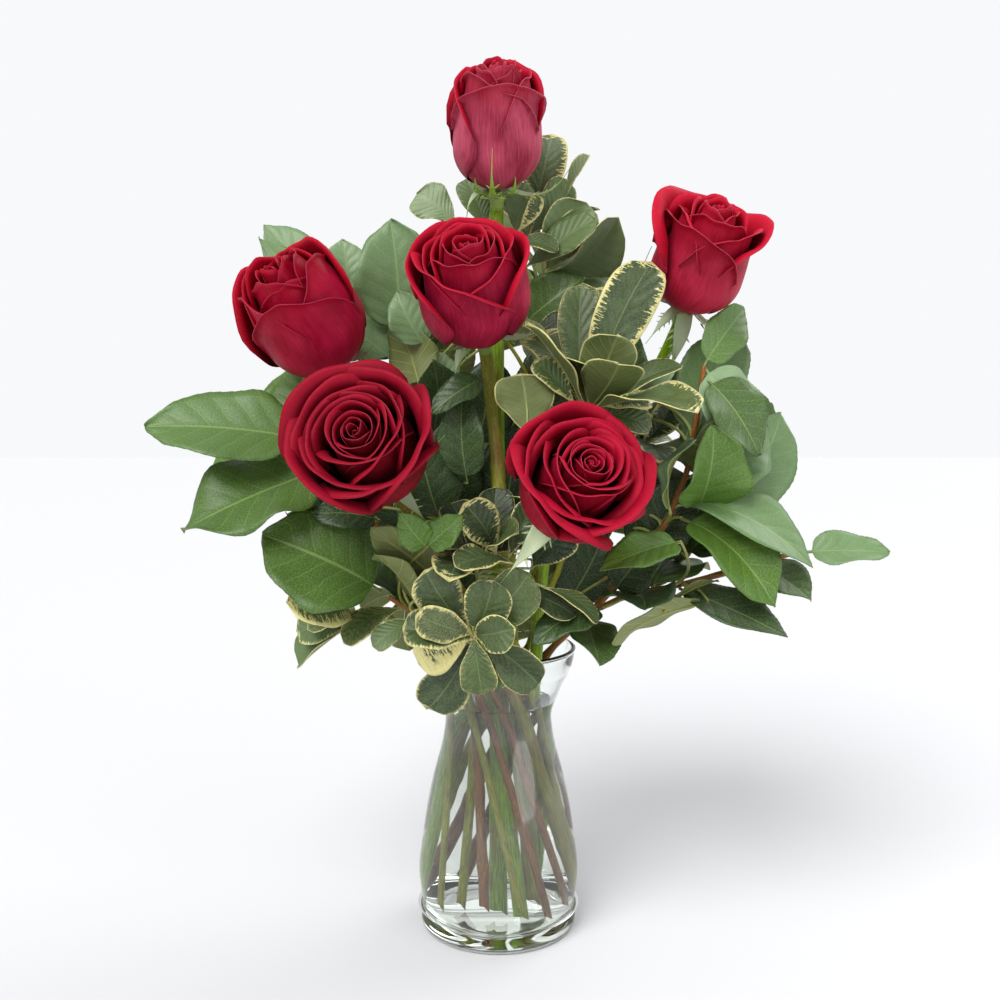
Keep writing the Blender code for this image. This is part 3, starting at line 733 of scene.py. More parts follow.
def growLeaf(kind, base, tip, up, width, arch, seed, tone, trees, reaches, **shape):
    # turns the leaf about its base until it is clear of what is there already, as leaves do in a bunch
    base, chord, up = np.asarray(base, float), np.asarray(tip, float) - base, unit(up)
    side = unit(np.cross(chord, up))
    for reach in reaches:
        for share in range(8 if reach else 1):
            yaw = math.radians(reach * math.cos(math.radians(45 * share)))
            pitch = math.radians(reach * math.sin(math.radians(45 * share)))
            turn = turnedAbout(up, yaw) @ turnedAbout(side, pitch)
            args = (kind, base, base + turn @ chord, turn @ up, width, arch, seed, tone)
            sheet = leafPatch(*args, coarse=True, **shape)["points"][2:]
            tree = treeOf(sheet)
            if not any(tree.overlap(other) for other in trees):
                trees.append(tree)
                return leafPatch(*args, **shape)
    return None


# A leaf's tone runs from dark green, 0, over bright green at 0.5, to pale, 1. It is partly each leaf's own
# green and partly
# painted light: the low tones of leaves deep in the bunch are painted shade, and the pale end is a painted
# sheen of the bright room on glossy leaves. Each of the frame's leaves has its tone, and how much wider its
# blade is than the solid's.
salalTones = {
    "salal_left": ((0.60, 1.25), (0.40, 1.35), (0.48, 1.2), (0.50, 1.2)),
    "salal_upper": ((0.78, 1.2), (0.80, 1.2), (0.24, 1.1), (0.34, 1.1)),
    "salal_low_left": ((0.38, 1.4), (0.20, 1.2), (0.28, 1.1)),
    "salal_right": ((0.42, 1.1), (0.80, 1.2), (0.74, 1.2), (0.34, 1.2), (0.70, 1.1)),
    "salal_low_right": ((0.80, 0.9), (0.20, 1.2), (0.22, 1.2), (0.30, 1.2), (0.38, 1.2)),
}
salalBends = {
    ("salal_right", 0): {"fold": 0.42}, ("salal_right", 2): {"curl": 0.10},
    ("salal_low_right", 0): {"fold": 0.30},
}

# The tones of each sprig's own whorl, from and to.
sprigTones = {
    "pittosporum_front": (0.22, 0.48), "pittosporum_upper_right": (0.24, 0.50),
    "pittosporum_top": (0.60, 0.95), "pittosporum_low_left": (0.46, 0.70), "pittosporum_back": (0.25, 0.5),
    "pittosporum_centre": (0.18, 0.4), "pittosporum_right": (0.25, 0.6),
}
# How much broader the cream is on a sprig's leftmost leaves.
creamSides = {"pittosporum_front": 5.0, "pittosporum_low_left": 1.4, "pittosporum_upper_right": 0.8}
earlySprigs = ("pittosporum_upper_right",)  # whose shoots take their room before the frame's own whorl
# Sprigs whose blades turn their upper side to the light.
turnedSprigs = ("pittosporum_top", "pittosporum_right", "pittosporum_low_left")

# Leaves of the branches' side shoots: how far up the stem the shoot leaves it, the leaf's base and tip, its
# width, the way its face looks, its arch, its tone, and how far it is folded. Without a base, the leaf sits
# on the stem's end.
shoots = {
    "salal_left": (
        (0.80, (-153, 30, 299), (-191, 35, 284), 26, (-0.2, -0.7, 0.7), 3, 0.50, 0.2),
        (0.80, (-127, 20, 309), (-146, 25, 354), 36, (-0.1, -0.9, 0.2), 4, 0.50, 0.2),
        (0.60, (-72, -20, 260), (-110, -34, 266), 24, (0.0, -0.7, 0.7), 4, 0.16, 0.1),
        (0.60, (-36, 0, 258), (-50, -4, 308), 38, (0.1, -0.9, 0.3), 4, 0.20, 0.2),
        (0.55, (-80, 20, 250), (-138, 28, 262), 44, (-0.2, -0.5, 0.9), 6, 0.24, 0.2),
        (0.72, (-100, 30, 300), (-78, 20, 340), 34, (0.0, -0.9, 0.3), 4, 0.44, 0.2),
    ),
    "salal_upper": (
        (0.70, (-104, 60, 398), (-157, 68, 450), 36, (-0.2, -0.8, 0.5), 4, 0.86, 0.1),
        (0.75, (-103, 75, 404), (-107, 78, 442), 32, (0.0, -0.9, 0.4), 3, 0.96, 0.1),
        (0.60, (-49, 10, 341), (-64, 20, 384), 34, (0.1, 0.9, 0.4), 3, 0.30, 0.1),
        (0.70, (-46, 15, 366), (-60, 20, 402), 26, (0.0, -0.9, 0.3), 3, 0.84, 0.2),
        (0.50, (-9, -5, 346), (-40, -20, 326), 22, (-0.1, -0.8, 0.6), 3, 0.22, 0.2),
        (0.40, (-19, -10, 282), (-22, -10, 338), 28, (0.0, -1.0, 0.1), 2, 0.24, 0.3),
        (0.55, (-30, 20, 339), (-44, 25, 364), 24, (0.1, -0.7, 0.7), 3, 0.94, 0.1),
        (0.70, (40, 58, 408), (97, 70, 432), 34, (0.0, -0.8, 0.6), 4, 0.90, 0.1),
        (0.65, (17, 32, 382), (53, 20, 411), 34, (0.0, -0.8, 0.6), 4, 0.34, 0.3),
        (0.60, (-64, 60, 360), (-92, 70, 398), 40, (-0.2, -0.8, 0.5), 4, 0.40, 0.2),
        (0.35, (4, 26, 250), (10, 20, 318), 46, (0.0, -1.0, 0.2), 3, 0.10, 0.1),
        (0.35, (-34, 30, 252), (-30, 26, 322), 44, (0.0, -1.0, 0.2), 3, 0.14, 0.1),
        (0.45, (20, 32, 308), (26, 26, 372), 40, (0.1, -1.0, 0.2), 3, 0.16, 0.1),
        (0.45, (-14, 36, 300), (-8, 30, 362), 38, (0.0, -1.0, 0.2), 3, 0.12, 0.1),
    ),
    "salal_low_left": (
        (0.60, (-28, -50, 223), (-69, -68, 261), 32, (0.2, 0.9, 0.5), 3, 0.30, 0.1),
        (0.60, (-40, -70, 250), (-54, -80, 270), 18, (-0.2, -0.9, 0.5), 2, 0.50, 0.3),
        (0.60, (-40, -70, 250), (-22, -80, 268), 18, (0.3, -0.9, 0.5), 2, 0.52, 0.3),
        (0.45, (-11, -20, 236), (-30, -30, 288), 34, (0.0, -0.9, 0.4), 4, 0.14, 0.2),
        (0.50, (-30, -10, 214), (-78, -18, 228), 36, (-0.1, -0.5, 0.9), 5, 0.20, 0.2),
        (0.45, (-58, 24, 240), (-70, 20, 300), 44, (-0.1, -1.0, 0.2), 3, 0.14, 0.1),
        (0.35, (-20, 14, 202), (-40, 6, 252), 38, (-0.1, -0.9, 0.3), 3, 0.12, 0.1),
    ),
    "salal_right": (
        (1.00, None, (157, 0, 300), 42, (0.2, -0.95, 0.25), 5, 0.96, 0.1),
        (1.00, None, (136, 8, 402), 26, (0.2, -0.95, 0.25), 3, 0.60, 0.2),
        (0.55, (144, 25, 255), (188, 40, 325), 48, (0.15, -0.9, 0.3), 5, 0.78, 0.1),
        (0.55, (122, -15, 267), (137, -25, 320), 46, (0.3, -0.9, 0.1), 3, 0.52, 0.45),
        (0.50, (102, -30, 265), (128, -42, 304), 24, (-0.7, -0.2, 0.6), 6, 0.88, 0.3),
        (0.50, (110, -25, 262), (178, -50, 243), 46, (0.1, -0.6, 0.8), 6, 0.46, 0.35),
        (0.60, (94, 0, 298), (113, -10, 347), 26, (-0.3, -0.9, 0.1), 2, 0.20, 0.2),
        (0.75, (89, 10, 335), (107, 0, 357), 26, (0.2, -0.5, 0.8), 2, 0.96, 0.1),
        (0.75, (131, 30, 300), (123, 25, 334), 28, (0.0, -0.9, 0.3), 2, 0.84, 0.1),
        (0.75, (160, 45, 302), (182, 50, 331), 28, (0.2, -0.8, 0.4), 2, 0.44, 0.2),
        (0.40, (87, 5, 233), (118, 0, 284), 42, (0.0, -0.9, 0.4), 4, 0.10, 0.2),
        (0.45, (96, 20, 262), (92, 14, 318), 38, (-0.1, -0.9, 0.3), 4, 0.16, 0.2),
        (0.40, (120, 20, 232), (170, 30, 262), 40, (0.1, -0.6, 0.8), 4, 0.26, 0.2),
        (0.40, (34, 30, 240), (40, 24, 310), 44, (0.0, -1.0, 0.2), 3, 0.12, 0.1),
        (0.45, (62, 24, 262), (68, 18, 326), 42, (0.1, -1.0, 0.2), 3, 0.16, 0.1),
        (0.70, (72, 34, 322), (86, 38, 382), 38, (0.1, -1.0, 0.2), 3, 0.22, 0.1),
        (0.30, (42, 14, 202), (62, 8, 252), 38, (0.1, -0.9, 0.3), 3, 0.12, 0.1),
    ),
    "salal_low_right": (
        (0.45, (104, -58, 252), (57, -84, 244), 26, (0.0, -0.6, 0.8), 4, 0.48, 0.2),
        (0.50, (126, -30, 212), (64, -58, 225), 28, (0.0, 0.55, 0.8), 3, 0.30, 0.1),
        (0.50, (97, -40, 208), (132, -30, 226), 18, (0.0, 0.5, 0.8), 3, 0.30, 0.1),
        (0.30, (62, -40, 210), (20, -64, 196), 26, (0.0, -0.6, 0.8), 4, 0.22, 0.1),
        (0.50, (112, -36, 236), (164, -58, 214), 32, (0.1, -0.6, 0.8), 5, 0.28, 0.2),
        (0.35, (70, -20, 216), (104, -40, 240), 34, (0.0, -0.7, 0.7), 4, 0.12, 0.2),
    ),
    "pittosporum_top": (
        (0.95, (21, 42, 441), (34, 45, 505), 28, (0.0, -0.95, 0.15), 2, 0.42, 0.1),
        (0.95, (19, 35, 437), (44, 30, 472), 22, (0.0, -0.95, 0.2), 2, 0.72, 0.1),
        (0.97, (41, 35, 458), (61, 32, 486), 14, (-0.6, -0.5, 0.5), 1, 0.92, 0.5),
        (0.95, (11, 38, 437), (8, 34, 472), 21, (0.0, -0.95, 0.2), 2, 0.78, 0.1),
        (0.95, (-8, 40, 440), (-21, 45, 476), 21, (0.0, -0.95, 0.2), 2, 0.62, 0.1),
        (0.90, (12, 25, 438), (26, 18, 460), 10, (0.2, -0.9, 0.2), 1, 0.40, 0.2),
        (0.85, (7, 20, 429), (37, 10, 425), 17, (0.0, -0.6, 0.8), 4, 0.36, 0.3),
        (0.85, (17, 30, 417), (65, 25, 441), 27, (0.0, -0.85, 0.5), 3, 0.64, 0.1),
        (0.90, (-27, 50, 447), (-54, 55, 468), 28, (0.0, -0.9, 0.4), 2, 0.94, 0.1),
        (0.70, (20, 0, 363), (44, -5, 384), 24, (0.0, -0.8, 0.6), 2, 0.20, 0.1),
        (0.80, (10, 60, 420), (-10, 84, 460), 26, (0.0, 0.7, 0.6), 3, 0.44, 0.2),
    ),
    "pittosporum_upper_right": (
        (1.00, None, (50, -14, 402), 26, (-0.1, -0.95, 0.2), 3, 0.42, 0.2),
        (1.00, None, (67, -8, 404), 24, (0.0, -0.95, 0.2), 3, 0.40, 0.2),
        (1.00, None, (101, -14, 408), 34, (0.1, -0.95, 0.1), 3, 0.30, 0.1),
        (1.00, None, (67, -42, 371), 34, (0.0, 0.95, 0.2), 2, 0.50, 0.1),
        (1.00, None, (104, -30, 362), 18, (0.2, -0.6, 0.8), 3, 0.40, 0.4),
        (0.95, (16, -45, 311), (13, -40, 347), 36, (0.0, 0.9, 0.3), 2, 0.50, 0.1),
        (0.97, (45, -35, 329), (20, -32, 354), 18, (0.1, -0.8, 0.6), 2, 0.60, 0.3),
        (0.97, (54, -30, 329), (91, -25, 337), 18, (0.0, -0.7, 0.7), 2, 0.30, 0.3),
        (0.97, (55, -30, 327), (91, -28, 317), 20, (0.1, -0.8, 0.6), 2, 0.40, 0.2),
        (0.85, (40, -10, 300), (10, 0, 336), 24, (-0.2, -0.8, 0.5), 2, 0.24, 0.2),
        (0.80, (60, -10, 296), (84, -8, 330), 24, (0.2, -0.8, 0.5), 2, 0.26, 0.2),
    ),
    "pittosporum_centre": (
        (0.90, (-1, -50, 243), (-25, -55, 276), 24, (0.0, -0.9, 0.4), 2, 0.26, 0.2),
        (0.90, (1, -45, 241), (-9, -45, 281), 22, (0.0, -0.95, 0.2), 2, 0.20, 0.2),
        (0.90, (6, -50, 241), (12, -55, 277), 18, (0.0, -0.95, 0.2), 2, 0.34, 0.2),
        (0.85, (10, -60, 239), (-29, -66, 252), 22, (0.0, -0.4, 0.9), 3, 0.36, 0.2),
        (0.80, (12, -45, 222), (44, -55, 207), 26, (0.0, -0.6, 0.8), 3, 0.20, 0.1),
        (0.80, (27, -50, 224), (58, -60, 207), 15, (0.0, -0.5, 0.9), 4, 0.44, 0.2),
        (0.75, (-6, -34, 228), (-34, -44, 246), 26, (0.0, -0.7, 0.7), 3, 0.16, 0.1),
        (0.75, (20, -30, 232), (40, -40, 262), 26, (0.0, -0.9, 0.4), 3, 0.14, 0.1),
    ),
    "pittosporum_back": (
        (0.25, (8, 50, 222), (16, 66, 170), 32, (0.0, 0.8, 0.5), 4, 0.16, 0.1),
        (0.25, (22, 50, 226), (40, 64, 184), 30, (0.2, 0.8, 0.5), 4, 0.20, 0.1),
        (0.25, (-6, 52, 230), (-18, 70, 182), 30, (-0.2, 0.8, 0.5), 4, 0.18, 0.1),
    ),
    "pittosporum_front": (
        (0.85, (-10, -60, 196), (-54, -66, 204), 26, (0.0, -0.8, 0.6), 2, 0.40, 0.2),
        (0.85, (-2, -52, 196), (16, -66, 172), 15, (0.1, -0.95, 0.3), 1, 0.50, 0.2),
        (0.85, (-4, -54, 196), (2, -68, 170), 15, (0.0, -0.95, 0.3), 1, 0.62, 0.2),
    ),
    "pittosporum_low_left": (
        (0.90, (-58, -20, 206), (-96, -34, 196), 22, (0.0, -0.6, 0.8), 3, 0.46, 0.1),
        (0.80, (-46, -30, 200), (-74, -44, 188), 16, (0.0, -0.6, 0.8), 3, 0.70, 0.1),
    ),
}

# Fuller whorls round the back and the sides: how far up the stem each leaves, its middle, its number of
# leaves, how far they open, from and to in degrees, their length and their tone.
whorls = {
    "pittosporum_top": (
        (0.66, (30, 66, 376), 8, (20, 88), 54, 0.34),
        (0.60, (-16, 44, 392), 6, (20, 85), 50, 0.40),
    ),
    "pittosporum_low_left": (
        (0.60, (-58, 16, 208), 7, (25, 88), 48, 0.24),
    ),
    "pittosporum_back": (
        (0.70, (-46, 72, 296), 8, (20, 88), 58, 0.30),
        (0.80, (26, 82, 306), 8, (20, 88), 58, 0.32),
        (0.55, (12, 74, 250), 7, (25, 90), 54, 0.26),
        (0.45, (-34, 66, 232), 7, (25, 90), 54, 0.24),
    ),
    "pittosporum_right": (
        (0.80, (110, 44, 270), 7, (20, 88), 54, 0.26),
        (0.60, (60, 56, 250), 7, (25, 90), 54, 0.28),
        (0.90, (62, 48, 320), 7, (20, 85), 54, 0.30),
        (0.60, (56, 10, 262), 6, (20, 80), 50, 0.14),
    ),
}

# Salal leaves round the back: how far up the stem, the tip, the width, the way the face looks, arch and tone.
backLeaves = {
    "salal_left": (
        (0.55, (-120, 44, 262), 48, (-0.3, 0.3, 0.9), 8, 0.30),
        (0.70, (-96, 74, 312), 48, (-0.3, 0.6, 0.7), 8, 0.34),
        (0.86, (-150, 64, 322), 44, (-0.4, 0.5, 0.7), 6, 0.28),
    ),
    "salal_upper": (
        (0.74, (-10, 70, 380), 48, (0.2, 0.6, 0.7), 7, 0.34),
        (0.84, (-96, 92, 396), 46, (-0.3, 0.6, 0.7), 7, 0.30),
        (0.97, (-40, 82, 438), 44, (0.1, 0.8, 0.5), 6, 0.42),
        (0.48, (-46, 88, 282), 50, (-0.2, 0.6, 0.8), 8, 0.26),
    ),
    "salal_right": (
        (0.80, (96, 74, 342), 48, (0.1, 0.6, 0.8), 7, 0.32),
        (0.66, (160, 64, 284), 46, (0.4, 0.5, 0.7), 7, 0.28),
        (0.48, (96, 82, 262), 48, (0.2, 0.6, 0.8), 8, 0.24),
    ),
    "salal_low_right": (
        (0.74, (150, 48, 250), 44, (0.2, 0.3, 0.9), 6, 0.26),
        (0.40, (72, 70, 206), 46, (0.1, 0.5, 0.8), 7, 0.30),
        (0.80, (186, -36, 214), 34, (0.1, -0.5, 0.8), 4, 0.30),
    ),
}
foliage = {name: {"leaves": [], "ribs": [], "twigs": []} for name in (*salalNames, *sprigNames)}


def kindOf(name):
    return name.split("_")[0]


def addLeaf(name, leaf, seed):
    if leaf is None:
        print("no room for leaf", seed, "on", name)
        return
    foliage[name]["leaves"].append(leaf)
    foliage[name]["ribs"].append(ribPatch(leaf, leafLook[kindOf(name)]["rib"] * mm, seed * 0.11))


def clearFront(name, length, depth=70 * mm):  # a strip in front of a stem's top, which leaves grow round
    path = stemPaths[name][0]
    path = path[np.linalg.norm(path - path[-1], axis=1) < length]
    return treeOf(np.stack([path, path - (0.0, depth, 0.0)], axis=1))


def creamOf(name, way):  # some sprigs are creamiest on their left
    return 1 + creamSides.get(name, 0) * smoothStep(0.0, 0.7, -unit(way)[0])


def growFrameLeaves(trees):  # the leaves that the solids give
    for name in salalNames:
        path, _ = stemPaths[name]
        found = [node for node in sorted(nodes) if node.startswith(name + "_leaf")]
        for index, (node, (tone, wider)) in enumerate(zip(found, salalTones[name])):
            base, tip, up, width, arch = salalLeafFacts(node, path)
            seed = 7 * index + 7 + 31 * salalNames.index(name)
            bends = salalBends.get((name, index), {})
            leaf = leafPatch("salal", base, tip, up, width * wider, arch, seed, tone, **bends)
            trees.append(treeOf(leaf["points"][6::5, ::2]))
            addLeaf(name, leaf, seed)
    for name in sprigNames:
        path, radii = stemPaths[name]
        hub = path[-1] + unit(path[-1] - path[-2]) * (radii[-1] / 0.6 + 0.7 * mm)
        for index, (base, tip, up, width, arch) in enumerate(sprigLeafFacts(name + "_leaves", hub)):
            seed = 5 * index + 43 * sprigNames.index(name) + 200
            rnd = random.Random(seed)
            tone = rnd.uniform(*sprigTones[name])
            if name in turnedSprigs and up.dot((0, -1, 0.5)) < 0:
                up = -up
            tip = base + (tip - base) * rnd.uniform(0.78, 1.05)
            tip = tip + np.cross(up, tip - base) * rnd.uniform(-0.3, 0.3)
            leaf = growLeaf(
                "pittosporum", base, tip, up, width * rnd.uniform(1.15, 1.5), arch, seed, tone, trees,
                leafTurns["frame"], curl=rnd.uniform(-0.1, 0.34), fold=rnd.uniform(0.05, 0.6),
                cream=creamOf(name, tip - base),
            )
            addLeaf(name, leaf, seed)


def onStem(name, share):  # a point on a branch, at a share of its length in the open, and the way it runs
    path, _ = stemPaths[name]
    mouth = int(np.argmax(path[:, 2] > vaseTop))
    at = min(len(path) - 2, mouth + round(share * (len(path) - 1 - mouth)))
    return path[at], unit(path[at + 1] - path[at])


twigLook = {  # radii from and to in mm, for a shoot with one leaf, for a large back leaf and for a whorl
    "shoot": (1.2, 0.8), "back": (1.5, 1.0), "whorl": (1.4, 1.1), "bend": 0.45,
    "shortest": 6 * mm, "longestBlade": 92 * mm,
}
# The degrees by which a leaf may turn about its base to get clear of others.
leafTurns = {
    "frame": (0, 4, 8, 12, 16, 22), "shoot": (0, 5, 10, 16, 24, 32), "back": (0, 7, 14, 21, 29, 38),
}


def addTwig(name, start, way, end, use, seed, material=0):  # it leaves start along way and bends to end
    s = np.linspace(0, 1, 14)[:, None]
    middle = start + way * np.linalg.norm(end - start) * twigLook["bend"]
    twig = start * (1 - s) ** 2 + 2 * middle * s * (1 - s) + end * s**2
    radii = np.linspace(*twigLook[use], len(twig)) * mm
    foliage[name]["twigs"].append(tubePatch(twig, radii, 8, seed=seed, material=material))
    return twig


def growShoots(trees, early):
    for name, leaves in shoots.items():
        if (name in earlySprigs) != early:
            continue
        for index, (share, base, tip, width, faces, arch, tone, fold) in enumerate(leaves):
            seed = 700 + 13 * index + 37 * list(foliage).index(name)
            base = stemPaths[name][0][-1] if base is None else np.array(base) * mm
            tip = np.array(tip) * mm
            leaf = growLeaf(
                kindOf(name), base, tip, faces, width, arch, seed, tone, trees, leafTurns["shoot"], fold=fold,
                curl=random.Random(seed).uniform(0.0, 0.14), cream=creamOf(name, tip - base),
            )
            addLeaf(name, leaf, seed)
            if leaf is None:
                continue
            start, way = onStem(name, share)
            if np.linalg.norm(start - base) > twigLook["shortest"]:
                addTwig(name, start, way, base, "shoot", seed, 1)


def growBackLeaves(trees):
    for name, leaves in backLeaves.items():
        for index, (share, tip, width, faces, arch, tone) in enumerate(leaves):
            base, way = onStem(name, share)
            seed = 400 + 17 * index + 29 * salalNames.index(name)
            tip = np.array(tip) * mm
            if np.linalg.norm(tip - base) > twigLook["longestBlade"]:  # the leaf sits on a twig of its own
                end = tip - unit(tip - base) * twigLook["longestBlade"]
                addTwig(name, base, way, end, "back", seed)
                base = end
            leaf = growLeaf("salal", base, tip, faces, width, arch, seed, tone, trees, leafTurns["back"])
            addLeaf(name, leaf, seed)


def growWhorl(name, hub, axis, count, opens, longest, tone, seed, trees):
    frame = facingFrame(axis)
    rnd = random.Random(seed)
    for index in range(count):
        share = index / (count - 1)
        opening = math.radians(opens[0] + (opens[1] - opens[0]) * share**0.7 + rnd.uniform(-7, 7))
        azimuth = goldenAngle * index + seed + rnd.uniform(-0.3, 0.3)
        out = np.array((math.cos(azimuth), math.sin(azimuth), 0.0))
        way = frame @ (out * math.sin(opening) + np.array((0, 0, math.cos(opening))))
        faces = frame @ (np.array((0, 0, math.sin(opening))) - out * math.cos(opening))
        length = longest * mm * (0.60 + 0.40 * share) * rnd.uniform(0.88, 1.08)
        width = length / mm * rnd.uniform(0.42, 0.58)
        shade = tone + rnd.uniform(-0.10, 0.14)
        arch = rnd.uniform(1.5, 5.0)
        leaf = growLeaf(
            "pittosporum", hub, hub + way * length, faces, width, arch, seed * 9 + index, shade, trees,
            leafTurns["back"], curl=rnd.uniform(-0.06, 0.18), fold=rnd.uniform(0.05, 0.4),
        )
        addLeaf(name, leaf, seed * 9 + index)


def growWhorls(trees):
    for name, found in whorls.items():
        for index, (share, tip, count, opens, longest, tone) in enumerate(found):
            hub = np.array(tip) * mm
            twig = addTwig(name, *onStem(name, share), hub, "whorl", index)
            axis = unit(twig[-1] - twig[-3]) + unit(hub - np.array((0, 0, hub[2] - 30 * mm))) * 0.8
            seed = 60 + 11 * index + 5 * sprigNames.index(name)
            growWhorl(name, hub, axis, count, opens, longest, tone, seed, trees)


def buildLeaves():
    for name, parts in foliage.items():
        kind = kindOf(name)
        replaced = [node for node in sorted(nodes) if node.startswith((name + "_leaf", name + "_leaves"))]
        thickness = leafLook[kind]["thickness"]
        addPiece(name + "_foliage", parts["leaves"], leafMaterials[kind], replaced, thickness)
        print(name, len(parts["leaves"]), "leaves grown")


def buildStems():
    green = stemSkin("greenRoseStem", "rose", 0.12)
    brown = stemSkin("brownRoseStem", "brownRose", 0.12)
    red = stemSkin("redSalalBark", "salal", 0.2)
    grey = stemSkin("greyPittosporumBark", "pittosporum", 0.28)
    for number, name in enumerate(roseNames):
        rnd = random.Random(40 + number)
        patches = stemPatches(name, 3 + number, *stemBuild["rose"])
        path, radii = stemPaths[name]
        ways, right, across = pathFrames(path)
        for _ in range(thornLook["count"]):
            at = rnd.randrange(int(len(path) * 0.35), len(path) - 6)
            angle = rnd.uniform(0, 2 * math.pi)
            out = right[at] * math.cos(angle) + across[at] * math.sin(angle)
            length = rnd.uniform(*thornLook["length"]) * mm
            patches.append(thornPatch(path[at] + out * radii[at] * 0.8, out, ways[at], length))
        skin = brown if name in ("rose_middle", "rose_low_left") else green
        addPiece(name + "_stalk", patches, [skin], [name + "_stem"])
    skins = {
        "salal": [red, stemSkin("redLeafStalk", "redStalk", 0.08)],
        "pittosporum": [grey, stemSkin("paleLeafStalk", "paleStalk", 0.08)],
    }
    for number, name in enumerate((*salalNames, *sprigNames)):
        kind = kindOf(name)
        patches = stemPatches(name, 11 + number, *stemBuild[kind])
        patches += foliage[name]["ribs"] + foliage[name]["twigs"]
        addPiece(name + "_stalk", patches, skins[kind], [name + "_stem"])
    print("stems swept")


# Roses. Lengths are in millimetres in the flower's own frame, whose Z runs up its axis from the receptacle.

# Each rose's edge colour is a painted highlight on the petals' thin rims
# Each rose's face colours run from painted shade in the cup, over the petal's own red, to a painted highlight
# on the rolled rim
roseLook = {
    "rose_top": {
        "petals": 16, "turn": 160, "seed": 5, "tight": 2.0, "belly": 0.96, "bellyAt": 0.32, "mouth": 0.82,
        "flare": 1.5, "roll": (6.0, 3.6), "drop": 0.14, "slant": 0.08, "petalWidth": 92, "spiral": 1.8,
        "centre": 0.96, "guardRim": 0.92, "stand": 0.02, "sides": 0.6, "loose": 0.02,
        "back": ("#841830", "#C4506A"), "face": ("#52000F", "#9C001E", "#B8082E"), "edge": "#B03C56",
    },
    "rose_left": {
        "petals": 19, "turn": 96, "seed": 9, "tight": 1.8, "belly": 0.97, "bellyAt": 0.36, "mouth": 0.82,
        "flare": 2.0, "roll": (7.0, 4.4), "drop": 0.30, "slant": 0.16, "petalWidth": 86, "spiral": 2.2,
        "centre": 0.94, "guardRim": 0.90, "stand": 0.03, "sides": 1.2, "loose": 0.03,
        "back": ("#900425", "#BC1A42"), "face": ("#52000C", "#9C001A", "#B80428"), "edge": "#A42440",
    },
    "rose_middle": {
        "petals": 19, "turn": 200, "seed": 14, "tight": 1.5, "belly": 0.95, "bellyAt": 0.38, "mouth": 0.88,
        "flare": 2.5, "roll": (8.0, 4.6), "drop": 0.15, "slant": 0.12, "petalWidth": 94, "spiral": 1.8,
        "centre": 0.90, "guardRim": 0.87, "stand": 0.02, "sides": 0.6, "loose": 0.04,
        "back": ("#8E0E2E", "#C02A4E"), "face": ("#4E000C", "#98001C", "#B8062A"), "edge": "#A82844",
    },
    "rose_right": {
        "petals": 17, "turn": 100, "seed": 21, "tight": 1.7, "belly": 0.90, "bellyAt": 0.32, "mouth": 0.78,
        "flare": 9.0, "roll": (9.0, 4.4), "drop": 0.08, "slant": 0.10, "petalWidth": 78, "spiral": 1.6,
        "centre": 0.92, "guardRim": 0.90, "stand": 0.0, "sides": 0.4, "loose": 0.03,
        "back": ("#8C0C24", "#B42440"), "face": ("#54000C", "#A40220", "#C00A2E"), "edge": "#B02E48",
    },
    "rose_low_left": {
        "petals": 27, "turn": 150, "seed": 27, "tight": 1.3, "belly": 0.90, "bellyAt": 0.40, "mouth": 0.98,
        "flare": 2.0, "roll": (9.5, 5.6), "drop": 0.10, "slant": 0.08, "petalWidth": 84, "spiral": 1.6,
        "centre": 0.92, "guardRim": 0.90, "stand": 0.03, "sides": 0.4, "loose": 0.06,
        "back": ("#5C0814", "#8A1828"), "face": ("#36000A", "#740017", "#960523"), "edge": "#8E1630",
    },
    "rose_low_right": {
        "petals": 26, "turn": 35, "seed": 33, "tight": 1.25, "belly": 0.90, "bellyAt": 0.40, "mouth": 0.97,
        "flare": 2.0, "roll": (9.5, 5.4), "drop": 0.10, "slant": 0.08, "petalWidth": 82, "spiral": 1.6,
        "centre": 0.92, "guardRim": 0.88, "stand": 0.03, "sides": 0.4, "loose": 0.06,
        "back": ("#72061A", "#A01430"), "face": ("#44000C", "#8C001C", "#AA062A"), "edge": "#AA203E",
    },
}
petalThickness = 0.38
stemShown = 36 * mm  # so much of the top rose's stem isn't hidden by leaves
petalFinish = {
    "Specular IOR Level": 0.15, "Sheen Weight": 0.03, "Sheen Roughness": 0.4, "Sheen Tint": "#E0607A",
}


def petalBack(name, look):  # the outside of a rose petal: paler, silky, and streaked with fine veins
    material, add = newMaterial(name + "PetalBack", petalFinish | {"Roughness": 0.48})
    along = readPlace(add)["Y"]
    veins, clouds, folds = petalNoise(add)
    veinShare = add("MapRange", (veins, 0.38, 0.66, 0.0, 0.35), interpolation_type="SMOOTHSTEP")[0]
    cloudShare = add("MapRange", (clouds, 0.3, 0.7, 0.0, 0.65), interpolation_type="SMOOTHSTEP")[0]
    streaks = add("Math", (veinShare, cloudShare), operation="ADD")[0]
    colour = add("Mix", {0: streaks, 6: look["back"][0], 7: look["back"][1]}, data_type="RGBA")[2]
    colour = tinted(add, colour, look["face"][1], along, 0.72, 1.0, 0.0, 0.6)
    relief = add("Math", (folds, 4.0, veins), operation="MULTIPLY_ADD")[0]
    return paint(material, add, colour, relief, 0.10)


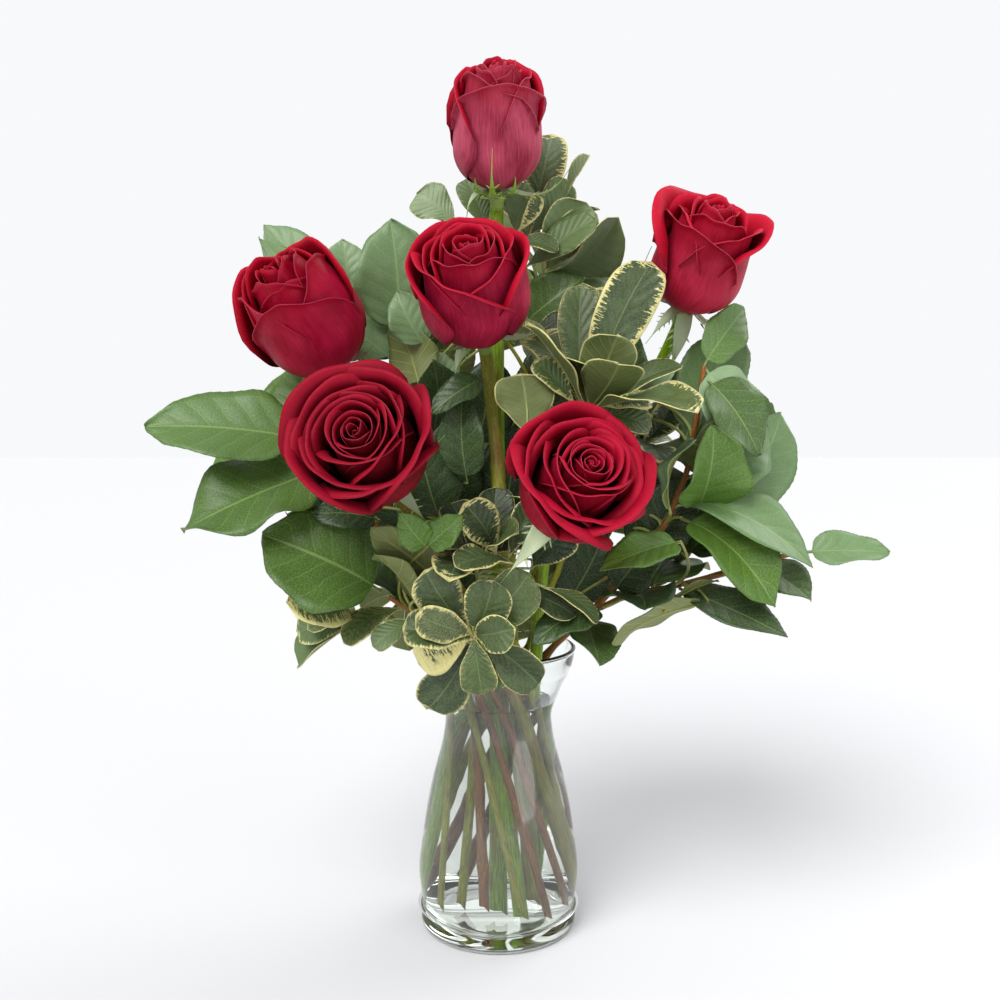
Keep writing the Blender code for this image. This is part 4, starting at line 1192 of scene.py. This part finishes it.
def petalFace(name, look):  # the inside: velvety, with painted shade darkening the cup and a painted highlight brightening it toward the rim
    material, add = newMaterial(name + "PetalFace", petalFinish | {"Roughness": 0.62})
    along = readPlace(add)["Y"]
    veins, clouds, folds = petalNoise(add)
    low = add("Math", (along, 0.12), operation="SUBTRACT")[0]
    depth = add("Math", (clouds, 0.25, low), operation="MULTIPLY_ADD")[0]
    # painted shade deep in the cup, the petal's own red in between, and a painted highlight on the rolled rim
    colour = add("ValToRGB", (depth,), tuple(zip((0.30, 0.74, 1.0), look["face"])))[0]
    colour = tinted(add, colour, look["face"][0], veins, 0.42, 0.62, 0.0, 0.12)
    relief = add("Math", (folds, 4.0, veins), operation="MULTIPLY_ADD")[0]
    return paint(material, add, colour, relief, 0.07)


def petalNoise(add):  # fine veins that run up the petal, broad clouds of colour, and soft folds
    veins = add("TexNoise", {
        "Vector": readGrain(add, (0.9, 0.07, 1.0)), "Scale": 1.0, "Detail": 4.0, "Roughness": 0.6,
    })[0]
    clouds = add("TexNoise", {"Vector": readGrain(add, (0.05, 0.04, 1.0)), "Scale": 1.0, "Detail": 2.0})[0]
    folds = add("TexNoise", {"Vector": readGrain(add, (0.26, 0.08, 1.0)), "Scale": 1.0, "Detail": 2.0})[0]
    return veins, clouds, folds


def petalMaterials(name, look):  # back, face, and the thin edge, whose paler colour is a painted highlight where light catches the rim
    edge, _ = newMaterial(name + "PetalEdgeHighlight", {
        "Base Color": look["edge"], "Roughness": 0.5, "Specular IOR Level": 0.3,
    })
    return [petalBack(name, look), petalFace(name, look), edge]


def petalShape(look, length, radius, k, rnd):
    # k runs from the heart, 0, to the guard petals, 1. The petal rises as a bowl to its belly, goes on to its
    # rim, and its free edge rolls outwards.
    rows, columns = (28, 23) if k > 0.5 else (22, 19)
    u = np.linspace(-1, 1, columns)[None, :]
    v = np.linspace(0, 1, rows)[:, None] ** 0.9
    wide = abs(u)
    outer = smoothStep(0.40, 1.0, k)
    slant = rnd.uniform(-1, 1) * look["slant"] * (0.35 + 0.65 * outer)
    drop = look["drop"] * (0.30 + 0.70 * outer)
    crown = 1 - drop * wide**2.0 - 0.26 * wide**7 + slant * u * (1 - 0.6 * wide**4)
    crown = crown + 0.030 * outer * np.exp(-((u / 0.15) ** 2))
    crown = crown + 0.016 * np.sin(u * 5 + rnd.uniform(0, 6)) + 0.008 * np.sin(u * 12 + rnd.uniform(0, 6))
    height = v * crown
    base = 2.0 + 2.5 * k
    belly = max(2.6, radius * look["belly"] * (1 - (1 - k) ** look["tight"]))
    rim = max(1.4, radius * look["mouth"] * k**1.08 * (1 + rnd.uniform(-1, 1) * look["loose"]))
    bellyHigh = length * look["bellyAt"]
    rimHigh = look["centre"] + 0.08 * math.sin(math.pi * min(1.0, k * 1.2)) * (1 - outer)
    rimHigh = rimHigh + (look["guardRim"] - look["centre"]) * outer + rnd.uniform(-0.025, 0.025)
    rimHigh *= length
    bowl = 0.42  # the share of the petal that the bowl takes
    quarter = np.clip(height / bowl, 0, 1) * math.pi / 2
    rest = np.clip((height - bowl) / (1 - bowl), 0, 1.3)
    out = base + (belly - base) * np.sin(quarter) + (rim - belly) * rest**1.6
    out = out + look["flare"] * outer**2 * smoothStep(0.70, 1.05, height)
    up = bellyHigh * (1 - np.cos(quarter)) + (rimHigh - bellyHigh) * rest
    half = min(2.5, look["petalWidth"] / 2 * (0.62 + 0.38 * k) / belly)
    angle = half * u * (0.40 + 0.60 * smoothStep(0.0, 0.5, height))
    stand = look["stand"] * outer * (1 / np.cos(np.clip(half * u, -1.05, 1.05)) - 1)
    out = out * (1 + stand * smoothStep(0.25, 0.8, height))
    out = out + look["spiral"] * u * smoothStep(0.1, 0.5, height)
    # the rolled edge, measured in from the free rim and from the sides above the belly
    width, bendRadius = look["roll"]
    spread = smoothStep(0.05, 0.70, k)
    width *= (0.10 + 0.90 * spread) * rnd.uniform(0.75, 1.15) * (0.65 + 0.55 * wide**1.4)
    bendRadius *= 0.40 + 0.60 * spread
    topGap = (1 - v) * crown * rimHigh
    sideGap = (1 - wide) * half * belly * 0.8 + 16 * (1 - smoothStep(0.25, 1.0, height))
    blend = 2.5  # how softly the top's roll passes into the sides'
    nearTop, nearSide = np.exp(-topGap / blend), np.exp(-sideGap / blend)
    gap = -blend * np.log(nearTop + nearSide + 1e-9)
    rolled = np.clip(width - gap, 0, width) * smoothStep(0.30, 0.85, height)
    turn = rolled / bendRadius
    pull = rolled - bendRadius * np.sin(turn)
    share = nearTop / (nearTop + nearSide + 1e-9)
    out = out + bendRadius * (1 - np.cos(turn))
    up = up - pull * share
    angle = angle - np.sign(u) * pull * (1 - share) / np.maximum(out, 6.0)
    wave = (0.25 + 0.85 * outer) * np.sin(u * 6.5 + rnd.uniform(0, 6)) * smoothStep(0.70, 1.0, height)
    crease = 0.6 * outer * np.exp(-((u / 0.13) ** 2)) * smoothStep(0.55, 1.0, height)
    sides = look["sides"] * outer * smoothStep(0.5, 1.0, wide) * smoothStep(0.3, 0.75, height)
    out = out + 0.5 * wave - crease + sides
    up = up + 0.6 * wave
    points = np.stack([out * np.cos(angle), out * np.sin(angle), up * np.ones_like(u)], axis=-1)
    return points, stacked(u, height, k), stacked(u * half * belly, height * length, 60 * k)


def flowerFrame(name):  # the middle of the bloom's base, its axes, and the bloom's solid in them
    centres, _ = stemRings(name + "_stem")
    axes = facingFrame(centres[-1] - centres[-2])
    local = (nodePoints(name + "_bloom") - centres[-1]) @ axes
    return centres[-1] + axes[:, 2] * local[:, 2].min(), axes, local


def foldPetals(name):
    look = roseLook[name]
    rnd = random.Random(look["seed"])
    base, axes, solid = flowerFrame(name)
    length = (solid[:, 2].max() - solid[:, 2].min()) / mm * 1.02
    radius = np.hypot(solid[:, 0], solid[:, 1]).max() / mm * 0.93
    patches = []
    for index in range(look["petals"]):
        k = index / (look["petals"] - 1)
        points, place, grain = petalShape(look, length, radius, k, rnd)
        stray = rnd.uniform(-1, 1) * (0.12 + 3 * look["loose"])
        spin = turnedAbout((0, 0, 1), math.radians(look["turn"]) + goldenAngle * index + stray)
        lean = rnd.uniform(0, 6)
        angle = rnd.uniform(-1, 1) * (0.02 + look["loose"]) * k
        nod = turnedAbout((math.cos(lean), math.sin(lean), 0), angle)
        points = points @ spin.T @ nod.T
        patches.append({"points": base + (points @ axes.T) * mm, "place": place, "grain": grain, "tone": k})
    return patches


# Calyxes. Each sepal is its heading round the stem, its length, how steeply it leaves and ends above the
# receptacle's level, in degrees, and half its width.

sepalLook = {
    "rose_top": (
        (-94, 56, -8, 100, 3.2), (-14, 54, -20, 60, 3.2), (188, 30, -24, -84, 5.4), (62, 28, -10, 30, 3.2),
        (-62, 36, -10, 96, 2.8), (-126, 34, -10, 96, 2.8),
    ),
    "rose_left": (
        (-18, 34, -14, 44, 4.4), (40, 28, -6, -44, 4.0), (-100, 26, -40, -76, 5.0), (130, 26, -14, 20, 3.6),
        (205, 24, -10, 30, 3.4),
    ),
    "rose_middle": (
        (-12, 42, -12, 40, 4.2), (-150, 34, -26, -80, 6.2), (70, 28, -6, -20, 3.6), (135, 28, -24, 30, 3.6),
        (215, 26, -10, 30, 3.4),
    ),
    "rose_right": (
        (-92, 46, -50, -88, 5.6), (-22, 40, -34, 30, 3.6), (168, 52, -6, 96, 3.4), (60, 28, -16, 10, 3.4),
        (214, 30, -36, -66, 3.8),
    ),
    "rose_low_left": (
        (-50, 50, -16, 40, 5.0), (-122, 52, -8, 84, 4.4), (20, 38, -16, 24, 4.6), (90, 28, -6, 20, 3.6),
        (155, 28, -14, 10, 3.6),
    ),
    "rose_low_right": (
        (-125, 56, -26, -8, 7.4), (-40, 34, -10, 20, 4.4), (30, 30, -14, 20, 3.8), (100, 28, -6, 20, 3.6),
        (170, 28, -14, 0, 3.8),
    ),
}
calyxLook = {
    "outside": ("#6F9A2C", "#9CBF4C"), "inside": ("#A9BE8C", "#D3DDBE"), "hip": ("#7FA33C", "#B4C77E"),
    "thickness": 0.4, "rows": 26, "edge": 4.0, "sunk": 1.5,  # a sepal begins at the hip's edge, a little low
    "fringe": (0.26, 0.34, 0.46, 0.56),  # where its narrow lobes stand, as shares of the length
}


def calyxSkin(name, colours, reliefDepth):  # soft young green tissue with fine lengthwise fibres
    material, add = newMaterial(name, {"Roughness": 0.5, "Specular IOR Level": 0.35})
    fibres = add("TexNoise", {"Vector": readGrain(add, (1.6, 0.12, 1.0)), "Scale": 1.0, "Detail": 3.0})[0]
    along = add("Math", (readPlace(add)["Y"], 0.35), operation="MULTIPLY")[0]
    share = add("Math", (fibres, 0.7, along), operation="MULTIPLY_ADD")[0]
    colour = add("Mix", {0: share, 6: colours[0], 7: colours[1]}, data_type="RGBA")[2]
    return paint(material, add, colour, fibres, reliefDepth)


def ribbonPatch(path, outward, halfWidths, columns, cup, seed):
    # a narrow sheet along a path, its upper side looking along outward, its edges raised by cup
    ways = unit(np.gradient(path, axis=0))
    outward = unit(outward - ways * (outward * ways).sum(axis=1)[:, None])
    side = np.cross(ways, outward)
    t = np.linspace(-1, 1, columns)[None, :, None]
    half = np.asarray(halfWidths)[:, None, None]
    points = path[:, None] + side[:, None] * t * half - outward[:, None] * cup * half * t**2
    along = np.linspace(0, 1, len(path))[:, None]
    across = t[..., 0] * half[..., 0]
    length = np.linalg.norm(np.diff(path, axis=0), axis=1).sum()
    return {
        "points": points, "tone": 0.5, "place": stacked(t[..., 0], along, seed),
        "grain": stacked(across, along * length, 37.0 * seed),
    }


def sepalPatches(heading, length, leaves, ends, half, seed):
    rnd = random.Random(seed)
    rows = calyxLook["rows"]
    s = np.linspace(0, 1, rows)
    rise = np.radians(leaves + (ends - leaves) * smoothStep(0.0, 0.9, s))
    heading = math.radians(heading) + 0.25 * rnd.uniform(-1, 1) * s**2
    radial = np.stack([np.cos(heading), np.sin(heading), np.zeros(rows)], axis=1)
    ways = radial * np.cos(rise)[:, None]
    ways[:, 2] += np.sin(rise)
    path = np.cumsum(ways * length / (rows - 1), axis=0) + radial[0] * calyxLook["edge"]
    path[:, 2] -= calyxLook["sunk"]
    below = radial * np.sin(rise)[:, None]
    below[:, 2] -= np.cos(rise)
    halfWidths = half * (0.75 + 0.5 * s) * (1 - smoothStep(0.12, 0.80, s)) + 0.75 * (1 - s) + 0.12
    patches = [ribbonPatch(path, below, halfWidths, 7, 0.35, seed)]
    side = np.cross(ways, below)
    for index, at in enumerate(calyxLook["fringe"]):
        for way in (-1, 1):
            if rnd.random() < 0.25:
                continue
            row = int(at * rows)
            reach = length * rnd.uniform(0.10, 0.17) * (1.1 - at)
            steps = np.linspace(0, 1, 7)[:, None]
            start = path[row] + side[row] * way * halfWidths[row] * 0.8
            lobe = start + (side[row] * way * 0.8 + ways[row] * 0.7) * reach * steps
            lobe = lobe - below[row] * 0.2 * reach * steps**2
            thin = (0.85 * (1 - steps[:, 0]) ** 0.8 + 0.1) * min(1.0, reach / 4)
            patches.append(ribbonPatch(lobe, np.tile(below[row], (7, 1)), thin, 3, 0.2, seed + index))
    return patches


def buildCalyxes():
    outside = calyxSkin("youngSepalOutside", calyxLook["outside"], 0.10)
    inside = calyxSkin("downySepalInside", calyxLook["inside"], 0.05)
    hip = calyxSkin("smoothRoseHip", calyxLook["hip"], 0.06)
    for number, name in enumerate(roseNames):
        base, axes, _ = flowerFrame(name)
        path, radii = stemPaths[name]
        low = (path[-1] - base) @ axes[:, 2] / mm
        heights = np.array([low - 1.5, low + 1.0, low * 0.72, low * 0.45, -2.6, -1.0, 0.8, 1.6])
        girth = np.array([radii[-1] / mm, radii[-1] / mm, 4.9, 6.1, 6.5, 6.2, 4.5, 1.5])
        line = base + axes[:, 2] * heights[:, None] * mm
        swelling = tubePatch(line, girth * mm, 24, seed=number)
        addPiece(name + "_hip", [swelling], [hip], [name + "_calyx"])
        patches = []
        for index, sepal in enumerate(sepalLook[name]):
            patches += sepalPatches(*sepal, seed=3 * number + index + 1)
        for patch in patches:
            patch["points"] = base + (patch["points"] @ axes.T) * mm
        addPiece(name + "_sepals", patches, [outside, inside], (), calyxLook["thickness"])
    print("sepals fringed")


petals = {name: foldPetals(name) for name in roseNames}


def buildRoses():
    for name in roseNames:
        materials = petalMaterials(name, roseLook[name])
        addPiece(name + "_petals", petals[name], materials, [name + "_bloom"], petalThickness)
    print("petals folded")


taken = [solidTree(name) for name in nodes if name.endswith(("_bloom", "_stem", "_calyx")) or name == "vase"]
for name in roseNames:
    taken += [treeOf(petal["points"][::3, ::3]) for petal in petals[name] if petal["tone"] > 0.6]
taken.append(clearFront("rose_top", stemShown))
growShoots(taken, True)
growFrameLeaves(taken)
growShoots(taken, False)
growBackLeaves(taken)
growWhorls(taken)
print("leaves placed")

buildVase()
buildWater()
buildLeaves()
buildStems()
buildRoses()
buildCalyxes()

# Camera and studio

studio = {
    "cameraAt": (0.001, -0.667, 0.330), "lookDown": 5.1, "lens": 38.7,
    "floorTone": "#DADADC", "backTone": "#F8F9FB", "ambience": 0.66, "backdrop": 1.0,
    "lights": (
        ("key", "SUN", (-0.50, -0.75, 0.95), (0, 0, 0), {"energy": 2.6, "angle": math.radians(36.0)}),
        ("rim", "SUN", (0.7, 0.5, 0.75), (0, 0, 0), {"energy": 0.9, "angle": math.radians(40.0)}),
        ("fill", "AREA", (1.3, -1.1, 0.6), (0, 0, 0.28), {"shape": "DISK", "size": 1.4, "energy": 7.0}),
    ),
}


def addCamera():
    camera = bpy.data.cameras.new("camera")
    camera.lens = studio["lens"]
    rig = addObject("camera", camera)
    rig.location = studio["cameraAt"]
    rig.rotation_euler = (math.radians(90 - studio["lookDown"]), 0.0, 0.0)
    scene.camera = rig


def addFloor():
    material = newMaterial("paintedFloor", {"Base Color": studio["floorTone"], "Roughness": 0.8})[0]
    bpy.ops.mesh.primitive_plane_add(size=12.0)
    floor = bpy.context.active_object
    floor.name = "floor"
    floor.data.materials.append(material)


def addLight(name, kind, at, aim, settings):
    light = bpy.data.lights.new(name, kind)
    for key, value in settings.items():
        setattr(light, key, value)
    lamp = addObject(name, light)
    lamp.location = at
    lamp.rotation_euler = (Vector(aim) - Vector(at)).to_track_quat("-Z", "Y").to_euler()


def addWorld():  # a soft room light, and a brighter plain wall where the view passes the object
    world = bpy.data.worlds.new("studio")
    world.use_nodes = True
    tree = world.node_tree
    background = tree.nodes["Background"]
    background.inputs["Color"].default_value = hexColour(studio["backTone"])
    rays = addNode(tree, "LightPath")
    seen = addNode(tree, "Math", (rays["Is Camera Ray"], rays["Is Transmission Ray"]), operation="MAXIMUM")[0]
    strength = addNode(tree, "MapRange", (seen, 0.0, 1.0, studio["ambience"], studio["backdrop"]))[0]
    tree.links.new(strength, background.inputs["Strength"])
    scene.world = world


addCamera()
addFloor()
addWorld()
for light in studio["lights"]:
    addLight(*light)
scene.view_settings.view_transform = "Standard"
print("studio lit")
